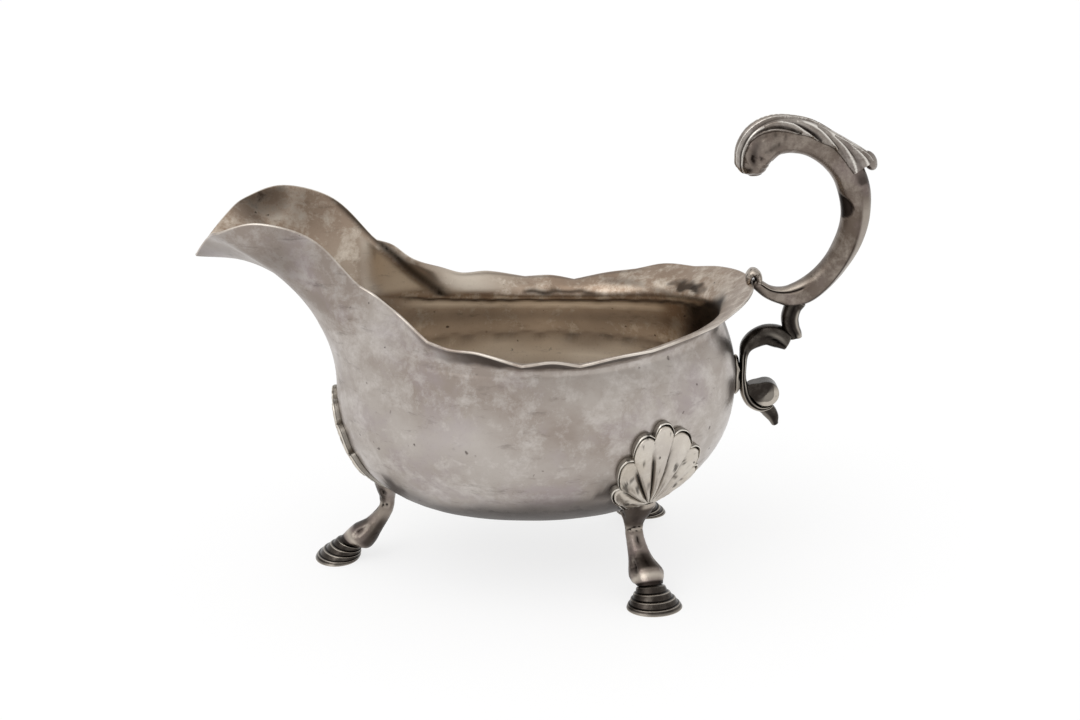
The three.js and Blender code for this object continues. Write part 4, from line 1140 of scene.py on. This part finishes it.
# The leaf on the scroll's back: how far down the side it reaches, and the lines of its flutes, as
# places along the scroll with angles from the back; ridges stand up and troughs lie between
leaf = dict(
    start=1.3, lifts=9.0, end=11.05, lift=2.1, seam=0.06, sunk=0.19, thick=1.2, least=0.12,
    sides=81, steps=210,
)
leafEdge = (
    (1.3, 40), (2.6, 43), (3.8, 45), (4.5, 48), (5.0, 54), (5.5, 60), (6.0, 65), (6.4, 69), (6.8, 73),
    (7.2, 76), (7.6, 76), (8.0, 77), (8.4, 79), (8.8, 76), (9.2, 71), (9.5, 70), (10.0, 77), (10.6, 83),
    (11.05, 83),
)
leafLines = (
    ((1.3, 0, 1), (11.05, 0, 1)),
    ((1.3, 11, 0.5), (3, 12, 0.3), (5.5, 10, 0.3), (6.6, 5.5, 0.5), (9, 3, 0.6)),
    ((1.3, 17, 1), (3, 19, 1), (5.5, 16, 1), (6.2, 12, 1), (7, 8, 1), (11.05, 5, 1)),
    ((1.3, 25, 0.1), (3, 28, 0.1), (4.8, 28, 0.1), (5.5, 25, 0.1), (6.2, 20, 0.1), (7, 14, 0.1),
     (8, 13, 0.2), (9, 11, 0.2), (11.05, 9, 0.2)),
    ((1.3, 34, 0.3), (3, 37, 0.3), (4.2, 38, 0.3), (5.0, 36, 0.4), (5.7, 33, 0.6), (6.4, 28, 0.8),
     (7.2, 24, 0.9), (8.1, 24, 0.9), (9, 22, 1), (11.05, 20, 1)),
    ((4.2, 47, 0.15), (5.2, 48, 0), (5.8, 51, 0), (6.3, 54, 0), (6.7, 58, 0), (7.1, 66, 0), (7.5, 75, 0)),
    ((5.6, 40, 0.7), (6.2, 40, 0.9), (6.6, 42, 1), (7.0, 47, 1), (7.3, 56, 1), (7.6, 66, 1),
     (8.1, 75, 1), (8.4, 78, 1)),
    ((6.5, 33, 0.5), (7.0, 36, 0.2), (7.3, 43, 0), (7.7, 53, 0), (8.0, 61, 0), (8.4, 68, 0), (8.7, 76, 0)),
    ((7.2, 29, 0.8), (7.6, 33, 1), (8.0, 38, 1), (8.5, 45, 1), (9.0, 55, 1), (9.5, 67, 1), (9.8, 76, 1)),
    ((8.2, 28, 0.6), (8.7, 33, 0.35), (9.1, 44, 0.3), (9.6, 58, 0.3), (10.1, 70, 0.3), (10.6, 82, 0.3)),
    ((8.7, 27, 0.8), (9.2, 35, 1), (9.8, 50, 1), (10.3, 63, 1), (10.8, 74, 1), (11.05, 79, 1)),
    ((9.2, 26, 0.6), (9.6, 32, 0.35), (10.1, 44, 0.3), (10.6, 55, 0.3), (11.05, 64, 0.3)),
    ((9.8, 25, 0.8), (10.2, 33, 1), (10.7, 43, 1), (11.05, 49, 1)),
    ((10.1, 24, 0.6), (10.6, 29, 0.4), (11.05, 33, 0.3)),
)


def onLine(line, place, value=1):
    for a, b in zip(line, line[1:]):
        if a[0] <= place <= b[0]:
            return mix(a[value], b[value], (place - a[0]) / (b[0] - a[0]))
    return None


def leafRelief(place, angle, reach):
    # how high the leaf stands at an angle from the back, from 0 in a trough to 1 on a ridge
    lines = []
    for line in leafLines:
        at = onLine(line, place)
        if at is not None and at < reach:
            lines.append((at, onLine(line, place, 2)))
    lines.sort()
    lip = mix(0.35, 0.95, bump(place, 5.9, 1.3))
    lines.append((max(reach - 2.5, lines[-1][0] + 1), lip))
    lines.append((reach + 0.5, lip * 0.6))
    for (a, first), (b, second) in zip(lines, lines[1:]):
        if angle <= b:
            return mix(first, second, ease((angle - a) / max(b - a, 0.01)))
    return lip * 0.6


def makeLeafCap():
    rings = []
    for k in range(leaf["steps"] + 1):
        share = k / leaf["steps"]
        place = min(mix(leaf["start"], leaf["end"], share), leaf["end"])
        seat = barFrame(mainStops, place)
        middle, depth, width, run, outer = seat
        lift = max(0, (place - leaf["lifts"]) / 2) ** 2 * leaf["lift"]
        reach = onLine(leafEdge, place)
        ends = min(1, 0.05 + 7 * share, 0.7 + 12 * (1 - share))
        over, under = [], []
        for i in range(leaf["sides"]):
            side = 2 * i / (leaf["sides"] - 1) - 1
            at, angle = abs(side) * reach, math.radians(side * reach)
            relief = leafRelief(place, at, reach)
            thick = leaf["thick"] * mix(leaf["least"], 1, relief) * mix(1, 0.85, side * side) * ends
            section = (middle + outer * lift * (1 - ease((at - 30) / 60)), depth, width, run, outer)
            p = barSkin(section, angle, mainBar["squareness"], leaf["seam"] + thick)
            # painted shadow in the troughs beside each ridge, and a painted highlight along the ridges
            dark = ease((0.45 - relief) / 0.42) * (0.85 + 0.3 * noise.noise(p * 0.5))
            bright = 0.95 * ease((relief - 0.88) / 0.12) if at >= 4 else 0
            # the outermost flute is worn before the leaf spreads, with fainter painted shadow and a painted
            # highlight along its side
            if 30 < at < 42 and place < 6:
                dark, bright = 0.4 * dark, 0.9 * bump(relief, 0.36, 0.08)
            over.append((p, dark, bright))
            # the leaf's edge and underside carry light painted shade
            under.insert(0, (barSkin(seat, angle, mainBar["squareness"], -leaf["sunk"]), 0.25, 0))
        rings.append(over + under)
    piece = ringPiece("leafCap", rings, middleOf(rings[0]), middleOf(rings[-1]), ("hollow_and_shade", "edge"))
    dressed(piece, "handle_leaf_cap", "worn_silver", leafSilver, 50)


knob = dict(behind=28.8, above=32.3, lean=-62, half=(2.7, 1.75, 2.2), twist=1.6, rows=24, sides=40)


def makeKnob():
    # the leaf's tip turned up into a small egg with a swirl round it
    middle = Vector((rimRear.x + knob["behind"], 0, rimRear.z + knob["above"]))
    lean = math.radians(knob["lean"])
    along = Vector((math.cos(lean), 0, math.sin(lean)))
    across = Vector((-along.z, 0, along.x))
    length, depth, width = knob["half"]
    rings = []
    for k in range(1, knob["rows"]):
        polar = math.pi * k / knob["rows"]
        ring = []
        for i in range(knob["sides"]):
            angle = math.tau * i / knob["sides"]
            swirl = math.sin(angle + polar * knob["twist"])
            r = math.sin(polar) * (1 - 0.07 * bump(swirl, 0, 0.25))
            p = middle - along * math.cos(polar) * length + across * math.cos(angle) * r * depth
            p.y = math.sin(angle) * r * width
            ring.append((p, 0.5 * bump(swirl, 0, 0.2)))
        rings.append(ring)
    piece = ringPiece("leafTip", rings, middle - along * length, middle + along * length, ("hollow_and_shade",))
    dressed(piece, "handle_leaf_tip", "cast_silver", leafSilver, 70)


curlStops = barStops(rimRear, (
    (1.6, 0.0, 1.7, 4.0), (1.65, 1.1, 1.9, 4.2), (1.2, 2.3, 2.2, 4.5), (0.2, 2.9, 2.4, 4.6),
    (-0.7, 2.2, 2.0, 4.6), (-1.0, 1.1, 1.6, 4.4), (-1.1, 0.2, 1.1, 3.8),
))
bridgeStops = barStops(rimRear + Vector((11.5, 0, -3.6)), (
    (0.3, -1.0, 5.2, 5.0), (-0.7, -3.0, 4.6, 4.6), (-1.3, -5.6, 4.6, 4.8), (-0.9, -8.0, 4.4, 5.0),
    (0.1, -9.9, 3.7, 5.2), (0.35, -10.9, 3.5, 5.4),
))
lowerWidth = 5.2
lowerStops = barStops(padOuter, (
    (12.2, 9.3, 4.9, lowerWidth + 1.0), (9.4, 10.5, 5.9, lowerWidth + 0.8), (6.4, 10.9, 5.4, lowerWidth),
    (3.5, 9.7, 4.7, lowerWidth), (1.6, 7.9, 3.5, lowerWidth), (0.9, 5.6, 2.3, lowerWidth),
    (0.8, 2.5, 1.8, lowerWidth), (0.8, -0.6, 1.8, lowerWidth), (1.1, -2.9, 2.2, lowerWidth),
    (1.6, -5.2, 2.5, lowerWidth), (3.0, -7.6, 2.5, lowerWidth), (5.4, -9.1, 1.9, lowerWidth),
    (7.6, -9.0, 1.3, lowerWidth - 0.4), (8.8, -8.4, 0.8, lowerWidth - 1.4),
))
tailStops = barStops(padOuter, (
    (5.9, -8.9, 2.8, 3.6), (7.7, -9.8, 3.8, 3.6), (9.1, -11.6, 3.3, 3.2), (9.8, -13.5, 2.0, 2.0),
))


def curlShape(p, place, u):
    lumps = noise.noise(p * 1.1)
    pits = ease((u - 0.1) / 0.4)
    p.y += math.copysign(0.3 * lumps, p.y) * ease(abs(p.y) / 1)
    return p, max(0.55 * pits, 0.8 * ease((lumps - 0.3) / 0.1)), 0.7 * ease((0.3 - u) / 0.5)


def bridgeShape(p, place, u):
    # hollowed down each side, with a light outer edge that runs into its flared foot
    hollow_and_shade = bump(u, -0.05, 0.3)
    p.y -= math.copysign(0.45 * hollow_and_shade, p.y) * ease(abs(p.y) / 1.2)
    edge = bump(u, 0.66, 0.14) * ease((place - 0.5) / 1)
    foot = bump(place, 4.5, 0.4) * ease((u + 0.5) / 0.8)
    return p, 0.7 * hollow_and_shade, 0.8 * max(edge, foot)


def lowerShape(p, place, u):
    # a strap with a light inner edge, whose upper end opens into a lobed leaf
    inY = ease(abs(p.y) / 1.3)
    strap = ease((place - 4) / 1.2)
    groove = bump(u, 0.05, 0.22) * mix(0.4, 1, strap)
    fold = bump(u - 0.25 * (1.6 - place), 0.1, 0.16) * bump(place, 0.9, 1.0)
    p.y -= math.copysign(0.3 * groove + 0.75 * fold, p.y) * inY
    light = 0.85 * ease((-u - 0.15) / 0.3) * strap * ease((place - 5.4) / 1.6)
    lobe = 0.5 * bump(u - 0.3 * (1.6 - place), -0.3, 0.22) * bump(place, 0.8, 0.9)
    return p, max(0.75 * groove, 0.9 * fold), max(light, lobe)


def tailShape(p, place, u):
    return p, 0.5 * bump(u, 0.1, 0.3), 0.35 * ease((-u - 0.2) / 0.4)


lowerBars = [
    dict(name="rimCurl", cadName="rim_curl", stops=curlStops, steps=60, shape=curlShape, ends=(0.3, 0.5),
         slot="worn_silver", material=castSilver),
    dict(name="bridgeScroll", cadName="bridge_scroll", stops=bridgeStops, steps=60, shape=bridgeShape,
         ends=(0.2, 0.1), slot="dark_silver", material=darkSilver),
    dict(name="lowerScroll", cadName="lower_scroll", stops=lowerStops, steps=150, shape=lowerShape,
         ends=(0.15, 0.4), slot="dark_silver", material=darkSilver),
    dict(name="tailDrop", cadName="tail", stops=tailStops, steps=40, shape=tailShape, ends=(0.3, 0.8),
         slot="cast_silver", material=darkSilver),
]


def makeLowerHandle():
    for bar in lowerBars:
        piece = makeBar({**lowerBar, **bar}, bar["stops"], bar["shape"])
        dressed(piece, "handle_" + bar["cadName"], bar["slot"], bar["material"], 50, 2, 0.06, 1.0)


cup = dict(
    behind=7.0, below=4.9, radius=3.45, length=5.0, dish=0.3, web=2.0, webAt=math.radians(162),
    lightFrom=math.radians(-42), sides=72,
)
# one side from its middle out: share of the dish's width, then how deep it is, below 0 over the rim
cupProfile = (
    (0.12, 1), (0.3, 1), (0.5, 0.97), (0.68, 0.85), (0.82, 0.55), (0.92, 0.22), (0.98, 0.03), (1, -0.05),
    (0.985, -0.2), (1.0, -0.45), (1.0, -0.8), (1.0, -1),
)


def makeCup():
    # the strap's end rolled into a cup: a dark dish on either side, off its middle, inside a light rim;
    # shade is painted in the dish away from the light, and a highlight on its lit side and on the rim
    middle = Vector((padOuter.x + cup["behind"], 0, padOuter.z - cup["below"]))
    rings = []
    for side in (1, -1):
        for share, dished in cupProfile[::side]:
            shine = 0.42 if dished > 0.04 else 1 if dished > -0.3 else 0.1
            ring = []
            for i in range(cup["sides"]):
                angle = math.tau * i / cup["sides"]
                web = cup["web"] * bump((angle - cup["webAt"] + math.pi) % math.tau - math.pi, 0, 0.45)
                rim = cup["radius"] + web
                lit = ease((math.cos(angle - cup["lightFrom"]) + 0.35) / 0.9)
                dish = rim - 0.15 - 1.15 * lit
                r = dish * share if dished > 0 else mix(dish, rim, min(1, -dished / 0.2))
                if dished < -0.2:
                    half = cup["length"] / 2 * (1 + (dished + 0.2) / 0.8)
                else:
                    half = cup["length"] / 2 - cup["dish"] * max(0, dished) - 0.45 * web * share**2
                p = middle + Vector((math.cos(angle) * r, side * max(half, 0), math.sin(angle) * r))
                # painted shade in the dish away from the light, a painted highlight where lit
                ring.append((p, 0.15 * (1 - lit) * (dished > 0.04), shine * lit))
            rings.append(ring)
    tip = Vector((0, cup["length"] / 2 - cup["dish"], 0))
    piece = ringPiece("lowerVolute", rings, middle + tip, middle - tip, ("hollow_and_shade", "rub_and_sheen"))
    subdivided(piece)
    dressed(piece, "handle_lower_volute", "dark_silver", darkSilver, 60)


# each ring of the pad: how far off the wall, and how large
pad = dict(
    halfWidth=3.2, halfHeight=5, thick=1.4, lumps=0.45, sides=48,
    rings=((0.05, 0.5), (0.05, 1.05), (0.4, 1.1), (0.8, 1.06), (1.2, 0.96), (1.35, 0.6)),
)


def makeWallPad():
    def onWall(across, up):
        return leaveBowl(Vector((bowl["middleX"], across, wallRear.z + up)), Vector((1, 0, 0)))

    rings = []
    for lift, share in pad["rings"]:
        ring = []
        for i in range(pad["sides"]):
            angle = math.tau * i / pad["sides"]
            across, up = math.sin(angle) * pad["halfWidth"], math.cos(angle) * pad["halfHeight"]
            p = onWall(across * share, up * share)
            ring.append(p + bowlFacing(p) * lift * (1 + pad["lumps"] * noise.noise(p * 0.9)))
        rings.append(ring)
    middle = onWall(0, 0)
    seam, face = Vector((pad["rings"][0][0], 0, 0)), Vector((pad["thick"], 0, 0))
    piece = ringPiece("wallPad", rings, middle + seam, middle + face)
    subdivided(piece)
    dressed(piece, "handle_wall_pad", "worn_silver", darkSilver, 70, 1, 0.02, 0.3)


makeMainScroll()
makeLeafCap()
makeKnob()
makeLowerHandle()
makeCup()
makeWallPad()
print("handle made")

# Floor, light and camera

stageSizes = dict(floor=30, floorTone=0.94, whiteShare=0.75, sky=0.95, wall=0.82)


def makeFloor():
    bpy.ops.object.select_all(action="DESELECT")
    bpy.ops.mesh.primitive_circle_add(vertices=96, radius=stageSizes["floor"], fill_type="NGON")
    floor = bpy.context.object
    floor.name = "floor"
    material = bpy.data.materials.new("paleFloor")
    tree = emptyTree(material)
    matt = fed(tree, node(tree, "BsdfDiffuse", -200, 0), dict(Color=(stageSizes["floorTone"],) * 3 + (1,)))
    white = node(tree, "Emission", -200, -200)
    rays = node(tree, "LightPath", -800, 200).outputs
    seen = combined(tree, -600, 200, "MAXIMUM", rays["Is Camera Ray"], rays["Is Glossy Ray"])
    seen = combined(tree, -400, 200, "MAXIMUM", seen, rays["Is Transmission Ray"])
    seen = combined(tree, -300, 200, "MULTIPLY", seen, stageSizes["whiteShare"])
    blend = fed(tree, node(tree, "MixShader", 0, 0), {0: seen, 1: matt.outputs[0], 2: white.outputs[0]})
    fed(tree, node(tree, "OutputMaterial", 200, 0), dict(Surface=blend.outputs[0]))
    floor.data.materials.append(material)


def makeSky():
    world = bpy.data.worlds.new("softRoom")
    bpy.context.scene.world = world
    tree = emptyTree(world)
    direction = node(tree, "TexCoord", -800, 0).outputs["Generated"]
    split = fed(tree, node(tree, "SeparateXYZ", -600, 0), {0: direction})
    ramp = node(tree, "ValToRGB", -200, 0)
    fed(tree, ramp, dict(Fac=ranged(tree, -400, 0, split.outputs["Z"], -1, 1)))
    stops = ramp.color_ramp.elements
    stops[0].position, stops[1].position = 0.5, 0.9
    stops.new(0.64)
    for stop, grey in zip(stops, (1, stageSizes["wall"], stageSizes["sky"])):
        stop.color = (grey, grey, grey, 1)
    background = fed(tree, node(tree, "Background", 100, 0), dict(Color=ramp.outputs["Color"]))
    fed(tree, node(tree, "OutputWorld", 300, 0), dict(Surface=background.outputs[0]))


# name, kind, where it stands and how it looks
lamps = (
    ("sunLight", "SUN", (-0.5, -0.35, 1.0), dict(energy=0.7, angle=math.radians(55))),
    ("sideLight", "AREA", (-0.5, -0.7, 0.75), dict(energy=1.2, shape="DISK", size=0.6)),
)
lampAim = (0, 0, 0.05)
view = dict(lens=58.1, at=(0.001375, -0.43871, 0.19452), aim=(0.001375, 0, 0.0562))


def pointed(name, data, at, aim):
    holder = bpy.data.objects.new(name, data)
    bpy.context.scene.collection.objects.link(holder)
    holder.location = at
    holder.rotation_euler = (Vector(aim) - holder.location).to_track_quat("-Z", "Y").to_euler()
    return holder


def makeLamps():
    for name, kind, at, looks in lamps:
        light = bpy.data.lights.new(name, kind)
        for key, value in looks.items():
            setattr(light, key, value)
        pointed(name, light, at, lampAim)


def makeCamera():
    camera = bpy.data.cameras.new("camera")
    camera.lens = view["lens"]
    camera.sensor_width = 36
    bpy.context.scene.camera = pointed("camera", camera, view["at"], view["aim"])


makeFloor()
makeSky()
makeLamps()
makeCamera()
bpy.context.scene.view_settings.view_transform = "Standard"
print("stage made")
